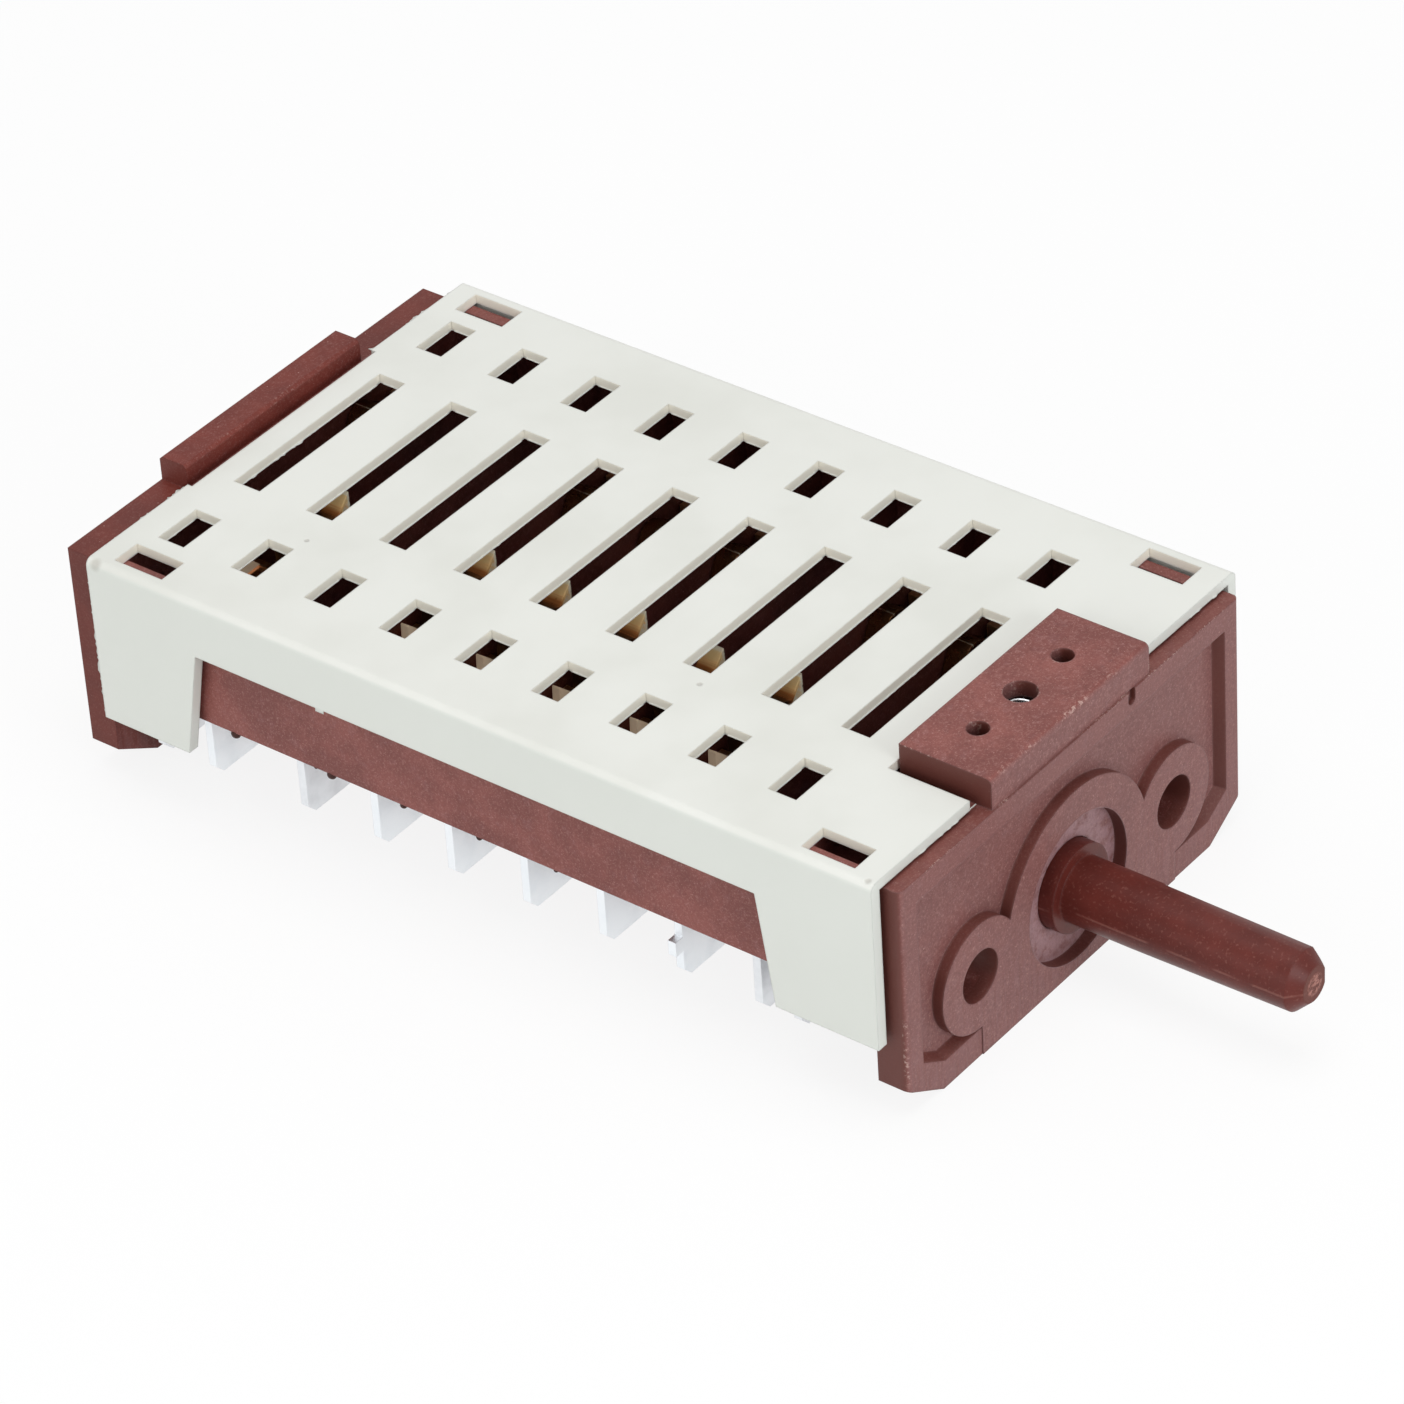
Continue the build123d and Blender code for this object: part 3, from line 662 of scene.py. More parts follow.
@dataclass(frozen=True)
class IvoryMoulding:
    """Smooth ivory thermoplastic with painted shade on its sides, painted warm bounce light on its slot
    walls and a painted highlight along their lower edges, faint specks, and small dents with painted shade
    in them.
    """

    name: str = "ivory cover"
    base: Colour = srgb(226, 227, 221)
    shade: Tint = Tint(srgb(218, 219, 212), 1.0, (0.35, 0.75))
    # Painted shade: upright faces are made darker than the top.
    side: Tint = Tint(srgb(214, 218, 211), 0.8)
    # Painted warm bounce light on the slot walls, paler than their shade leaves them.
    slot_wall_light: Colour = srgb(247, 242, 228)
    slot_wall_light_least: float = 0.75
    # Painted highlight along the lower edges of the slot walls.
    slot_edge_highlight: Colour = srgb(248, 247, 242)
    edge_highlight_from: float = 0.17
    edge_highlight_full: float = 0.09
    # Dirt on the specks; in the dents it is painted shade.
    dirt_and_dent_shade: Tint = Tint(srgb(120, 104, 84), 0.6)
    dent_shade_share: float = 0.5
    broad: Noise = Noise(70, 3.0, 0.55)
    cloud: Noise = Noise(420, 3.0, 0.6, height=0.5, dulling=0.14)
    fine: Noise = Noise(3800, height=0.35)
    specks: Dots = Dots(110, -1.6, 0.11, dulling=0.2)
    under: float = 15.25
    slack: float = 0.05
    edge_x: float = 25.3
    front: float = 2.0
    rear: float = 83.9
    dents: tuple[tuple[Point, float], ...] = (
        ((-25.3, 2.2, 16.1), 0.42),
        ((-25.6, 83.5, 15.8), 0.8),
        ((-11.6, 29.4, 16.2), 0.35),
        ((-13.4, 70.2, 16.2), 0.3),
    )
    dent_depth: float = 4.0
    roughness: float = 0.36
    gloss: float = 0.45
    edge_round: float = 0.22
    depth: float = 0.02

    def build(self) -> bpy.types.Material:
        """Makes the material.

        Returns:
            The finished material.
        """
        g = Graph(bpy.data.materials.new(self.name))
        spot = Spot(g)
        upright = abs(spot.facing_z).step(*WALL_FACING)
        within = (abs(spot.x) < self.edge_x * MM) * (spot.y > self.front * MM) * (spot.y < self.rear * MM)
        wall = upright * within * (spot.z > (self.under - self.slack) * MM)
        # Painted highlight line low on the slot walls.
        slot_edge_highlight = wall * spot.z.step((self.under + self.edge_highlight_from) * MM, (self.under + self.edge_highlight_full) * MM)
        cloud = g.noise(spot.place, self.cloud)
        specks = g.dots(spot.place, self.specks)
        colour = g.tint(self.base, g.noise(spot.place, self.broad), self.shade)
        # Painted shade on the upright faces.
        colour = g.tint(colour, upright, self.side)
        # Painted warm bounce light on the slot walls.
        colour = g.blend(wall * (self.slot_wall_light_least + (1 - self.slot_wall_light_least) * cloud), colour, self.slot_wall_light)
        colour = g.blend(slot_edge_highlight, colour, self.slot_edge_highlight)
        colour = g.tint(colour, specks, self.dirt_and_dent_shade)
        height = g.noise(spot.place, self.fine) * self.fine.height + cloud * self.cloud.height
        for centre, radius in self.dents:
            dent = g.near(spot.place, centre, radius)
            height = height - dent * self.dent_depth
            # Painted shade in the dent's hollow.
            colour = g.tint(colour, dent, self.dirt_and_dent_shade, self.dent_shade_share)
        return g.finish({
            "Base Color": colour,
            "Roughness": self.roughness + cloud * self.cloud.dulling + specks * self.specks.dulling,
            "Normal": g.bump(height, self.depth, g.rounded(self.edge_round)),
            "Specular IOR Level": self.gloss,
        })


@dataclass(frozen=True)
class ShaftMoulding:
    """Smoother, darker brown of the cam shaft, with a parting line and a gate mark on its end.

    The parting line's angle is in degrees from +X.
    """

    name: str = "brown shaft"
    base: Colour = srgb(98, 40, 33)
    dark: Colour = srgb(85, 33, 27)
    pale: Colour = srgb(176, 122, 110)
    end_face: Colour = srgb(104, 60, 52)
    end_least: float = 0.5
    mottle: Band = (0.3, 0.7)
    broad: Noise = Noise(240, 3.0, 0.6, height=0.6)
    grain: Noise = Noise(3600, height=0.3, dulling=0.1)
    grain_band: Band = (0.55, 0.8)
    grain_amount: float = 0.2
    specks: Dots = Dots(1500, -1.2, 0.13)
    speck_amount: float = 0.5
    parting_angle: float = 180.0
    line_amount: float = 0.22
    line_height: float = 0.5
    line_from: float = 0.16
    line_full: float = 0.05
    waver: Noise = Noise(420)
    waver_band: Band = (0.38, 0.56)
    tip_y: float = -23.3
    tip_from: float = 0.06
    tip_full: float = 0.01
    tip_dulling: float = 0.2
    gate_radius: float = 0.95
    gate_from: float = 0.25
    gate_full: float = -0.1
    gate_amount: float = 0.8
    rough_patch: Noise = Noise(2600, 4.0, 0.7, height=5.0)
    patch_band: Band = (0.4, 0.6)
    roughness: float = 0.34
    gloss: float = 0.24
    edge_round: float = 0.25
    depth: float = 0.02

    def _parting_line(self, g: Graph, spot: Spot) -> Wire:
        """Finds the parting line along the shaft.

        Args:
            g: Node tree of the finish.
            spot: Place and direction of the surface.

        Returns:
            1 on the line and 0 beside it.
        """
        turn = math.radians(self.parting_angle)
        off_line = abs(spot.x * math.sin(turn) - spot.z * math.cos(turn))
        this_side = (spot.x * math.cos(turn) + spot.z * math.sin(turn)) > 0.0
        waver = g.noise(spot.place, self.waver).step(*self.waver_band)
        return off_line.step(self.line_from * MM, self.line_full * MM) * this_side * waver

    def build(self) -> bpy.types.Material:
        """Makes the material.

        Returns:
            The finished material.
        """
        g = Graph(bpy.data.materials.new(self.name))
        spot = Spot(g)
        line = self._parting_line(g, spot)
        tip = spot.y.step((self.tip_y + self.tip_from) * MM, (self.tip_y + self.tip_full) * MM)
        radius = g.math("SQRT", spot.x * spot.x + spot.z * spot.z)
        gate = tip * radius.step((self.gate_radius + self.gate_from) * MM,
                                 (self.gate_radius + self.gate_full) * MM)
        rough_patch = g.noise(spot.place, self.rough_patch)
        broad = g.noise(spot.place, self.broad)
        grain = g.noise(spot.place, self.grain)
        specks = g.dots(spot.place, self.specks)
        colour = g.blend(broad.step(*self.mottle), self.dark, self.base)
        colour = g.blend(grain.step(*self.grain_band) * self.grain_amount, colour, self.pale)
        colour = g.blend(specks * self.speck_amount, colour, self.pale)
        colour = g.blend(line * self.line_amount, colour, self.pale)
        colour = g.blend(tip * (self.end_least + (1 - self.end_least) * grain), colour, self.end_face)
        colour = g.blend(gate * rough_patch.step(*self.patch_band) * self.gate_amount, colour, self.pale)
        height = (grain * self.grain.height + broad * self.broad.height + line * self.line_height
                  + gate * rough_patch * self.rough_patch.height)
        return g.finish({
            "Base Color": colour,
            "Roughness": self.roughness + grain * self.grain.dulling + tip * self.tip_dulling,
            "Normal": g.bump(height, self.depth, g.rounded(self.edge_round)),
            "Specular IOR Level": self.gloss,
        })


class Drawn(Enum):
    """Direction in which a metal sheet was rolled, as stretch factors of its streaks."""

    UPRIGHT = (3200.0, 3200.0, 160.0)
    LENGTHWISE = (3200.0, 160.0, 3200.0)
    EVEN = (1400.0, 1400.0, 1400.0)


class Ground(ABC):
    """Colour of a metal under its tarnish."""

    @abstractmethod
    def paint(self, g: Graph, spot: Spot, streaks: Wire) -> Value:
        """Gives the colour.

        Args:
            g: Node tree of the finish.
            spot: Place and direction of the surface.
            streaks: Noise of the rolling streaks.

        Returns:
            The colour of the ground.
        """


@dataclass(frozen=True)
class Plain(Ground):
    """One colour all over."""

    colour: Colour

    def paint(self, g: Graph, spot: Spot, streaks: Wire) -> Value:
        """The one colour."""
        return self.colour


@dataclass(frozen=True)
class Dipped(Ground):
    """Plating that ends at a height, with bare metal above it."""

    plating: Colour
    bare: Colour = srgb(236, 196, 146)
    plated_to: float = 3.6
    fade: float = 0.4

    def paint(self, g: Graph, spot: Spot, streaks: Wire) -> Value:
        """The plating, and the bare metal above it."""
        bare = spot.z.step(self.plated_to * MM, (self.plated_to + self.fade) * MM)
        return g.blend(bare, self.plating, self.bare)


@dataclass(frozen=True)
class SlotLit(Ground):
    """Colours by distance from the middle plane, as the light from a slot leaves them."""

    stops: tuple[tuple[float, Colour], ...]
    reach: float = 10.0
    waver: float = 0.05

    def paint(self, g: Graph, spot: Spot, streaks: Wire) -> Value:
        """Gives the colour.

        Args:
            g: Node tree of the finish.
            spot: Place and direction of the surface.
            streaks: Noise of the rolling streaks, which makes the distances waver.

        Returns:
            The colour at each distance.
        """
        share = abs(spot.x) * (1 / (self.reach * MM)) + (streaks - 0.5) * self.waver
        stops = [(distance / self.reach, shade) for distance, shade in self.stops]
        ramp = g.node("ShaderNodeValToRGB", {"stops": stops}, {0: share})
        return Wire(g, ramp.outputs["Color"])


@dataclass(frozen=True)
class PaintedCrestHighlight:
    """Painted highlight along a bend: its distance from the middle plane and its least height."""

    x: float
    above: float = 12.9
    line_from: float = 0.11
    line_full: float = 0.05
    colour: Colour = srgb(255, 244, 220)
    cloud_band: Band = (0.25, 0.5)

    def over(self, g: Graph, spot: Spot, cloud: Wire, colour: Wire) -> Wire:
        """Lays the painted highlight line over a colour.

        Args:
            g: Node tree of the finish.
            spot: Place and direction of the surface.
            cloud: Noise that breaks the line.
            colour: Colour underneath.

        Returns:
            The colour with the line.
        """
        line = abs(abs(spot.x) - self.x * MM).step(self.line_from * MM, self.line_full * MM)
        crest = line * (spot.z > self.above * MM)
        return g.blend(crest * cloud.step(*self.cloud_band), colour, self.colour)


@dataclass(frozen=True)
class SheetMetal:
    """Rolled and stamped metal with fine streaks, a soft tarnish and bright rounded edges, and, where set,
    a glow that is painted light.
    """

    name: str
    ground: Ground
    tarnish: Colour
    roughness: float
    drawn: Drawn
    tarnish_amount: float
    metallic: float = 1.0
    edge_round: float = 0.08
    depth: float = 0.006
    # Emission that stands in for light reaching the metal: painted light.
    glow: float = 0.0
    # Painted highlight along a bend, where set.
    crest: PaintedCrestHighlight | None = None
    streaks: Noise = Noise(1.0, 3.0, 0.6, height=0.7, dulling=0.1)
    cloud: Noise = Noise(380, 3.0, 0.6)
    dull_band: Band = (0.4, 0.75)
    dulling: float = 0.25
    polish: float = 0.05
    fine: Noise = Noise(4200, height=0.4)
    pits: Dots = Dots(900, -0.7, 0.14, height=-1.5)
    pit_amount: float = 0.5

    def build(self) -> bpy.types.Material:
        """Makes the material.

        Returns:
            The finished material.
        """
        g = Graph(bpy.data.materials.new(self.name))
        spot = Spot(g)
        streaks = g.noise(g.stretched(spot.place, self.drawn.value), self.streaks)
        cloud = g.noise(spot.place, self.cloud)
        fine = g.noise(spot.place, self.fine)
        pits = g.dots(spot.place, self.pits)
        dull = cloud.step(*self.dull_band) * self.tarnish_amount
        colour = g.blend(dull, self.ground.paint(g, spot, streaks), self.tarnish)
        colour = g.blend(pits * self.pit_amount, colour, self.tarnish)
        # Painted highlight line along the bend.
        if self.crest:
            colour = self.crest.over(g, spot, cloud, colour)
        height = streaks * self.streaks.height + fine * self.fine.height + pits * self.pits.height
        # Painted light: the metal glows in its own colour where a glow is set.
        painted_glow = {"Emission Color": colour, "Emission Strength": self.glow} if self.glow else {}
        return g.finish({
            "Base Color": colour,
            "Metallic": self.metallic,
            "Roughness": (self.roughness - self.polish) + streaks * self.streaks.dulling
                         + dull * self.dulling,
            "Normal": g.bump(height, self.depth, g.rounded(self.edge_round)),
            **painted_glow,
        })


@dataclass(frozen=True)
class Part:
    """What every sub-assembly shares: dressing the frame's nodes and adding pieces to a body."""

    body: str = "base"

    def dress(self, names: Sequence[str], material: bpy.types.Material) -> None:
        """Gives a finish to nodes of the frame through their objects' material slots.

        Args:
            names: Nodes to dress.
            material: Finish that they get.
        """
        for name in names:
            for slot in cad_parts[name].material_slots:
                slot.link = "OBJECT"
                slot.material = material
            log.info("dressed %s in %s", name, material.name)

    def place(self, piece: bpy.types.Object, slot: str) -> None:
        """Lets a new piece move with this sub-assembly's body.

        Args:
            piece: Piece that was built in place.
            slot: Material slot of the record that it belongs to; not used.
        """
        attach(piece, self.body)
        log.info("added %s on %s", piece.name, self.body)


def mesh_piece(name: str, shape: bmesh.types.BMesh, material: bpy.types.Material) -> bpy.types.Object:
    """Turns a finished bmesh into an object of the scene.

    Args:
        name: Name of the piece.
        shape: Mesh under construction, which is freed.
        material: Finish of the piece.

    Returns:
        The new object.
    """
    bmesh.ops.recalc_face_normals(shape, faces=shape.faces)
    mesh = bpy.data.meshes.new(name)
    shape.to_mesh(mesh)
    shape.free()
    mesh.materials.append(material)
    piece = bpy.data.objects.new(name, mesh)
    bpy.context.scene.collection.objects.link(piece)
    return piece


def skin_tube(
    shape: bmesh.types.BMesh, sections: Sequence[Sequence[bmesh.types.BMVert]], smooth: bool = False,
) -> None:
    """Joins rings of vertices into a tube with closed, flat ends.

    Args:
        shape: Mesh that holds the vertices.
        sections: Rings with the same number of vertices, from end to end.
        smooth: Whether the wall of the tube is shaded as a round one.
    """
    corners = len(sections[0])
    for first, second in zip(sections, sections[1:]):
        for index in range(corners):
            after = (index + 1) % corners
            face = shape.faces.new((first[index], first[after], second[after], second[index]))
            face.smooth = smooth
    shape.faces.new(reversed(sections[0]))
    shape.faces.new(sections[-1])


class Flash(Enum):
    """Kinds of moulding flash: its reach, how often it grows, and the share that is always there."""

    TORN = (0.42, 0.8, 0.0)
    LUMP = (0.85, 0.55, 0.0)
    LEG = (0.42, 0.85, 0.15)
    FOOT = (0.12, 0.35, 0.0)
    FRONT = (0.2, 0.6, 0.1)
    BAR = (0.18, 0.35, 0.0)
    LIP = (0.2, 0.5, 0.5)
    FIRST_SLOT = (0.42, 1.0, 0.0)
    BURR = (0.55, 1.0, 0.7)


@dataclass(frozen=True)
class Seam:
    """An edge along which moulding flash stands: its ends, the way the flash points and its kind."""

    start: Point
    end: Point
    outward: Point
    flash: Flash


@dataclass(frozen=True)
class FlashFringe:
    """Thin torn flash left along the parting edges of the cover."""

    pitch: float = 0.28
    thickness: float = 0.05
    tip_share: float = 0.4
    sink: float = 0.08
    follow: float = 0.55
    shortest: float = 0.06
    unevenness: float = 0.5
    fewest_points: int = 3
    seed: int = 41

    def _heights(self, chance: random.Random, count: int, density: float, least: float) -> list[float]:
        """Draws how far the flash reaches at each point of an edge.

        Args:
            chance: Source of the random draws.
            count: Number of points.
            density: How often the flash grows.
            least: Share of the reach that is always there.

        Returns:
            Shares of the reach.
        """
        heights: list[float] = []
        level = 0.0
        for _ in range(count):
            goal = chance.random() if chance.random() < density else 0.0
            level += (goal ** 2 - level) * self.follow
            heights.append(max(level, least))
        return heights

    def build(self, name: str, seams: Sequence[Seam], material: bpy.types.Material) -> bpy.types.Object:
        """Builds all slivers as one mesh.

        Args:
            name: Name of the piece.
            seams: Edges that carry flash.
            material: Finish of the flash.

        Returns:
            The new object.
        """
        chance = random.Random(self.seed)
        shape = bmesh.new()
        pitch = self.pitch * MM
        for seam in seams:
            reach, density, least = seam.flash.value
            start, end = Vector(seam.start) * MM, Vector(seam.end) * MM
            outward = Vector(seam.outward).normalized()
            along = (end - start).normalized()
            side = along.cross(outward).normalized() * self.thickness * MM / 2
            heights = self._heights(chance, int((end - start).length / pitch), density, least)
            run: list[tuple[Vector, float]] = []
            for index, height in enumerate(heights + [0.0]):
                if height > self.shortest:
                    jitter = (chance.random() - 0.5) * pitch * self.unevenness
                    run.append((start + along * (index * pitch + jitter), height))
                else:
                    if len(run) >= self.fewest_points:
                        self._sliver(shape, run, outward, side, reach)
                    run = []
        return mesh_piece(name, shape, material)

    def _sliver(
        self,
        shape: bmesh.types.BMesh,
        run: Sequence[tuple[Vector, float]],
        outward: Vector,
        side: Vector,
        reach: float,
    ) -> None:
        """Adds one closed sliver.

        Args:
            shape: Mesh that it is added to.
            run: Points along the edge with the share of the reach at each.
            outward: Direction in which the flash stands.
            side: Half of its thickness as a vector.
            reach: Largest height in millimetres.
        """
        root = outward * self.sink * MM
        tip_side = side * self.tip_share
        sections = []
        for point, height in run:
            tip = point + outward * height * reach * MM
            corners = (point - root - side, point - root + side, tip + tip_side, tip - tip_side)
            sections.append([shape.verts.new(corner) for corner in corners])
        skin_tube(shape, sections)


@dataclass(frozen=True)
class Mouldings(Part):
    """The brown housing with its front and rear plates and the resin beads under its edge.

    Each bead has its place along the housing and its radius. The inset, the hang and the stretch
    are shares of that radius.
    """

    side_x: float = -24.05
    shelf_z: float = 2.2
    beads: tuple[tuple[float, float], ...] = (
        (70.9, 0.42), (60.2, 0.4), (61.9, 0.16), (52.3, 0.3), (44.1, 0.26), (35.9, 0.2),
    )
    bead_inset: float = 0.2
    bead_hang: float = 0.6
    bead_stretch: Point = (0.9, 1.15, 1.0)
    bead_subdivisions: int = 3

    def build(self) -> None:
        """Dresses the three mouldings and hangs the beads."""
        # The front plate gets painted sheen and strong painted shade; the rear plate gets a little painted
        # shade.
        self.dress(["front_plate"], BrownMoulding(
            "brown front plate", front_sheen=PaintedSheen(), painted_shade=PaintedShade(0.95), wear=Wear(0.8), edge_round=0.32,
            grain_amount=1.2).build())
        self.dress(["rear_plate"], BrownMoulding(
            "brown rear plate", base=srgb(113, 47, 37), dark=srgb(98, 38, 30), haze_amount=0.05,
            grain_amount=0.6, painted_shade=PaintedShade(0.35, relief=0.0), wear=Wear(0.2), gloss=0.32).build())
        self.dress(["housing"], BrownMoulding("brown housing").build())
        resin = ShaftMoulding("dark resin bead", base=srgb(62, 30, 24), dark=srgb(44, 20, 16)).build()
        self.place(self._beads(resin), "brown_thermoset")

    def _beads(self, material: bpy.types.Material) -> bpy.types.Object:
        """Builds the squeezed-out resin beads as one mesh of flattened drops.

        Args:
            material: Finish of the beads.

        Returns:
            The new object.
        """
        shape = bmesh.new()
        for y, radius in self.beads:
            centre = Vector((self.side_x + radius * self.bead_inset, y,
                             self.shelf_z - radius * self.bead_hang)) * MM
            turned = Matrix.Translation(centre) @ Matrix.Diagonal((*self.bead_stretch, 1.0))
            bmesh.ops.create_icosphere(shape, subdivisions=self.bead_subdivisions,
                                       radius=radius * MM, matrix=turned)
        for face in shape.faces:
            face.smooth = True
        return mesh_piece("resin_beads", shape, material)


@dataclass(frozen=True)
class SlottedCover(Part):
    """The ivory lid with the flash along its edges."""

    half: float = 25.9
    front: float = 1.5
    rear: float = 84.4
    top: float = 16.2
    under: float = 15.25
    wall_inset: float = 0.15
    corner_inset: float = 0.9
    edge_drop: float = 0.12
    rear_notch: float = 12.6
    lump_end: float = 15.8
    bar_gap: float = 0.5
    front_notch: float = 11.6
    front_lift: float = 0.1
    leg_top: float = 15.0
    leg_bottom: float = -0.5
    leg_width: float = 10.0
    leg_round: float = 0.4
    slot_half: float = 9.92
    slot_width: float = 2.87
    openings: tuple[tuple[float, float], ...] = ((-9.92, 9.92), (-19.95, -15.0), (15.0, 19.95))
    chambers: int = 9
    pitch: float = 8.147
    rear_chamber: float = 79.87
    lip_lift: float = 0.06
    flash_end: float = 0.5
    skirt_bottom: float = 10.5
    burr_inset: float = 0.1
    burr_span: tuple[float, float] = (58.7, 59.9)

    def _side_seams(self, side: int) -> list[Seam]:
        """Edges of one side of the cover that carry flash.

        Args:
            side: -1 for the near side and 1 for the far side.

        Returns:
            The rear top edge, the rear leg's edges and the front's lower edge.
        """
        wall = side * (self.half - self.wall_inset)
        corner = side * (self.half - self.corner_inset)
        notch, edge_z = side * self.rear_notch, self.top - self.edge_drop
        foot, front_z = self.leg_bottom, self.under + self.front_lift
        return [
            Seam((notch, self.rear, edge_z), (corner, self.rear, edge_z), (0, 1, 0), Flash.TORN),
            Seam((notch, self.rear, edge_z), (side * self.lump_end, self.rear, edge_z),
                 (0, 1, 0.15), Flash.LUMP),
            Seam((wall, self.rear, self.leg_top), (wall, self.rear, foot), (0.1 * side, 1, 0), Flash.LEG),
            Seam((wall, self.rear - self.leg_width, foot), (wall, self.rear - self.leg_round, foot),
                 (0, 0, -1), Flash.FOOT),
            Seam((side * self.front_notch, self.front, front_z), (corner, self.front, front_z),
                 (0, -1, -0.2), Flash.FRONT),
        ]

    def _slot_seams(self) -> list[Seam]:
        """Lower edges of the slots and windows that carry a lip.

        Returns:
            The far edge and one end of every opening.
        """
        low_z = self.under + self.lip_lift
        found = []
        for number in range(self.chambers):
            middle = self.rear_chamber - self.pitch * number
            near, far = middle - self.slot_width / 2, middle + self.slot_width / 2
            for low_x, high_x in self.openings:
                found.append(Seam((low_x, far, low_z), (high_x, far, low_z), (0, -1, 0), Flash.LIP))
                found.append(Seam((high_x, near, low_z), (high_x, far, low_z), (-1, 0, 0), Flash.LIP))
        return found

    def seams(self) -> list[Seam]:
        """Edges of the cover that carry flash.

        Returns:
            The edges of both sides, the rear edge over the bar, the slots and one burr.
        """
        bar_y, bar_z = self.rear - self.bar_gap, self.top - self.edge_drop
        slot_y, slot_z = self.rear_chamber + self.slot_width / 2, self.under + self.lip_lift
        burr_x = -self.half + self.burr_inset
        burr_ends = [(burr_x, y, self.skirt_bottom) for y in self.burr_span]
        return [
            *self._side_seams(-1),
            *self._side_seams(1),
            Seam((-self.rear_notch, bar_y, bar_z), (self.rear_notch, bar_y, bar_z), (0, 1, 0), Flash.BAR),
            *self._slot_seams(),
            Seam((-self.slot_half, slot_y, slot_z), (self.flash_end, slot_y, slot_z),
                 (0, -1, 0), Flash.FIRST_SLOT),
            Seam(*burr_ends, (-0.1, 0, -1), Flash.BURR),
        ]

    def build(self) -> None:
        """Dresses the cover and adds its flash."""
        ivory = IvoryMoulding().build()
        self.dress(["cover"], ivory)
        self.place(FlashFringe().build("cover_flash", self.seams(), ivory), "ivory_cover")


@dataclass(frozen=True)
class TurningShaft(Part):
    """The cam shaft, which turns in the two plates."""

    body: str = "camshaft"

    def build(self) -> None:
        """Dresses the shaft and its drum."""
        self.dress(["camshaft"], ShaftMoulding().build())


@dataclass(frozen=True)
class Conductors(Part):
    """Terminals with their pointed tips, bus bars, contact springs and contacts of both sides.

    The tips' outline has distances from the middle plane and heights over the wings' tops.
    """

    metal: float = 0.8
    tab_end: float = 2.0
    wing_top: float = 11.8
    tip_outline: tuple[tuple[float, float], ...] = (
        (13.4, -0.3), (14.5, 0.8), (15.87, 2.05), (16.0, 2.0), (16.1, -0.3),
    )
    spring_light: tuple[tuple[float, Colour], ...] = (
        (4.25, srgb(84, 50, 30)), (4.4, srgb(255, 248, 226)), (4.55, srgb(255, 246, 220)),
        (4.7, srgb(255, 224, 166)), (5.3, srgb(255, 212, 146)), (5.7, srgb(178, 112, 60)),
        (6.1, srgb(94, 56, 30)), (6.5, srgb(40, 22, 13)),
    )

    def _tips(self, terminals: Sequence[str], material: bpy.types.Material) -> bpy.types.Object:
        """Builds the sheared points that stand on the terminals' upper edges, as one mesh.

        Args:
            terminals: Nodes of the terminals.
            material: Finish of the points.

        Returns:
            The new object.
        """
        shape = bmesh.new()
        back = Vector((0, self.metal * MM, 0))
        for name in terminals:
            _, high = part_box(name)
            side = -1 if high[0] < 0 else 1
            front = self._blade_front(name)
            outline = [Vector((side * x, front, self.wing_top + z)) * MM for x, z in self.tip_outline]
            skin_tube(shape, [[shape.verts.new(point) for point in outline],
                              [shape.verts.new(point + back) for point in outline]])
        return mesh_piece("terminal_tips", shape, material)

    def _blade_front(self, name: str) -> float:
        """Finds where a terminal's blade begins, from the lowest points of its tab.

        Args:
            name: Node of the terminal.

        Returns:
            The y of the blade's front face in millimetres.
        """
        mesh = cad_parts[name].data
        lowest = min(vertex.co.z for vertex in mesh.vertices)
        depths = [vertex.co.y for vertex in mesh.vertices if vertex.co.z < lowest + self.tab_end * MM]
        return min(depths) / MM

    def build(self) -> None:
        """Dresses each kind of conductor in its own metal."""
        tin = SheetMetal("tinned terminal", Dipped(srgb(248, 252, 255)), srgb(228, 236, 242),
                         roughness=0.42, drawn=Drawn.UPRIGHT, tarnish_amount=0.25, metallic=0.9)
        bar = SheetMetal("tinned bar", Plain(srgb(240, 243, 246)), srgb(214, 217, 220),
                         roughness=0.4, drawn=Drawn.LENGTHWISE, tarnish_amount=0.4, metallic=0.85)
        # Near springs: colours painted as the slot's light leaves them, and a painted glow.
        near_brass = SheetMetal("near spring brass", SlotLit(self.spring_light), srgb(150, 98, 56),
                                roughness=0.3, drawn=Drawn.LENGTHWISE, tarnish_amount=0.3,
                                metallic=0.35, depth=0.004, glow=0.14)
        # Far springs: dark brass with a painted highlight along each bend.
        far_brass = SheetMetal("far spring brass", Plain(srgb(150, 106, 72)), srgb(98, 62, 42),
                               roughness=0.22, drawn=Drawn.LENGTHWISE, tarnish_amount=0.5,
                               metallic=0.9, depth=0.002, crest=PaintedCrestHighlight(8.55))
        silver = SheetMetal("contact silver", Plain(srgb(232, 230, 224)), srgb(190, 182, 168),
                            roughness=0.28, drawn=Drawn.EVEN, tarnish_amount=0.4)
        # Sheared tips: a painted glow stands in for light reaching them through the windows.
        sheared = SheetMetal("sheared brass tip", Plain(srgb(255, 228, 196)), srgb(228, 184, 146),
                             roughness=0.4, drawn=Drawn.UPRIGHT, tarnish_amount=0.3, metallic=0.1,
                             depth=0.003, glow=0.16)
        names = sorted(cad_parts)
        terminals = [name for name in names if "_terminal_" in name]
        springs = [name for name in names if "_contact_spring_" in name]
        self.dress(terminals, tin.build())
        self.place(self._tips(terminals, sheared.build()), "brass_spring")
        self.dress([name for name in names if name.endswith("_bus_bar")], bar.build())
        self.dress([name for name in springs if name.startswith("left_")], near_brass.build())
        self.dress([name for name in springs if name.startswith("right_")], far_brass.build())
        self.dress([name for name in names if name.endswith("_contacts")], silver.build())


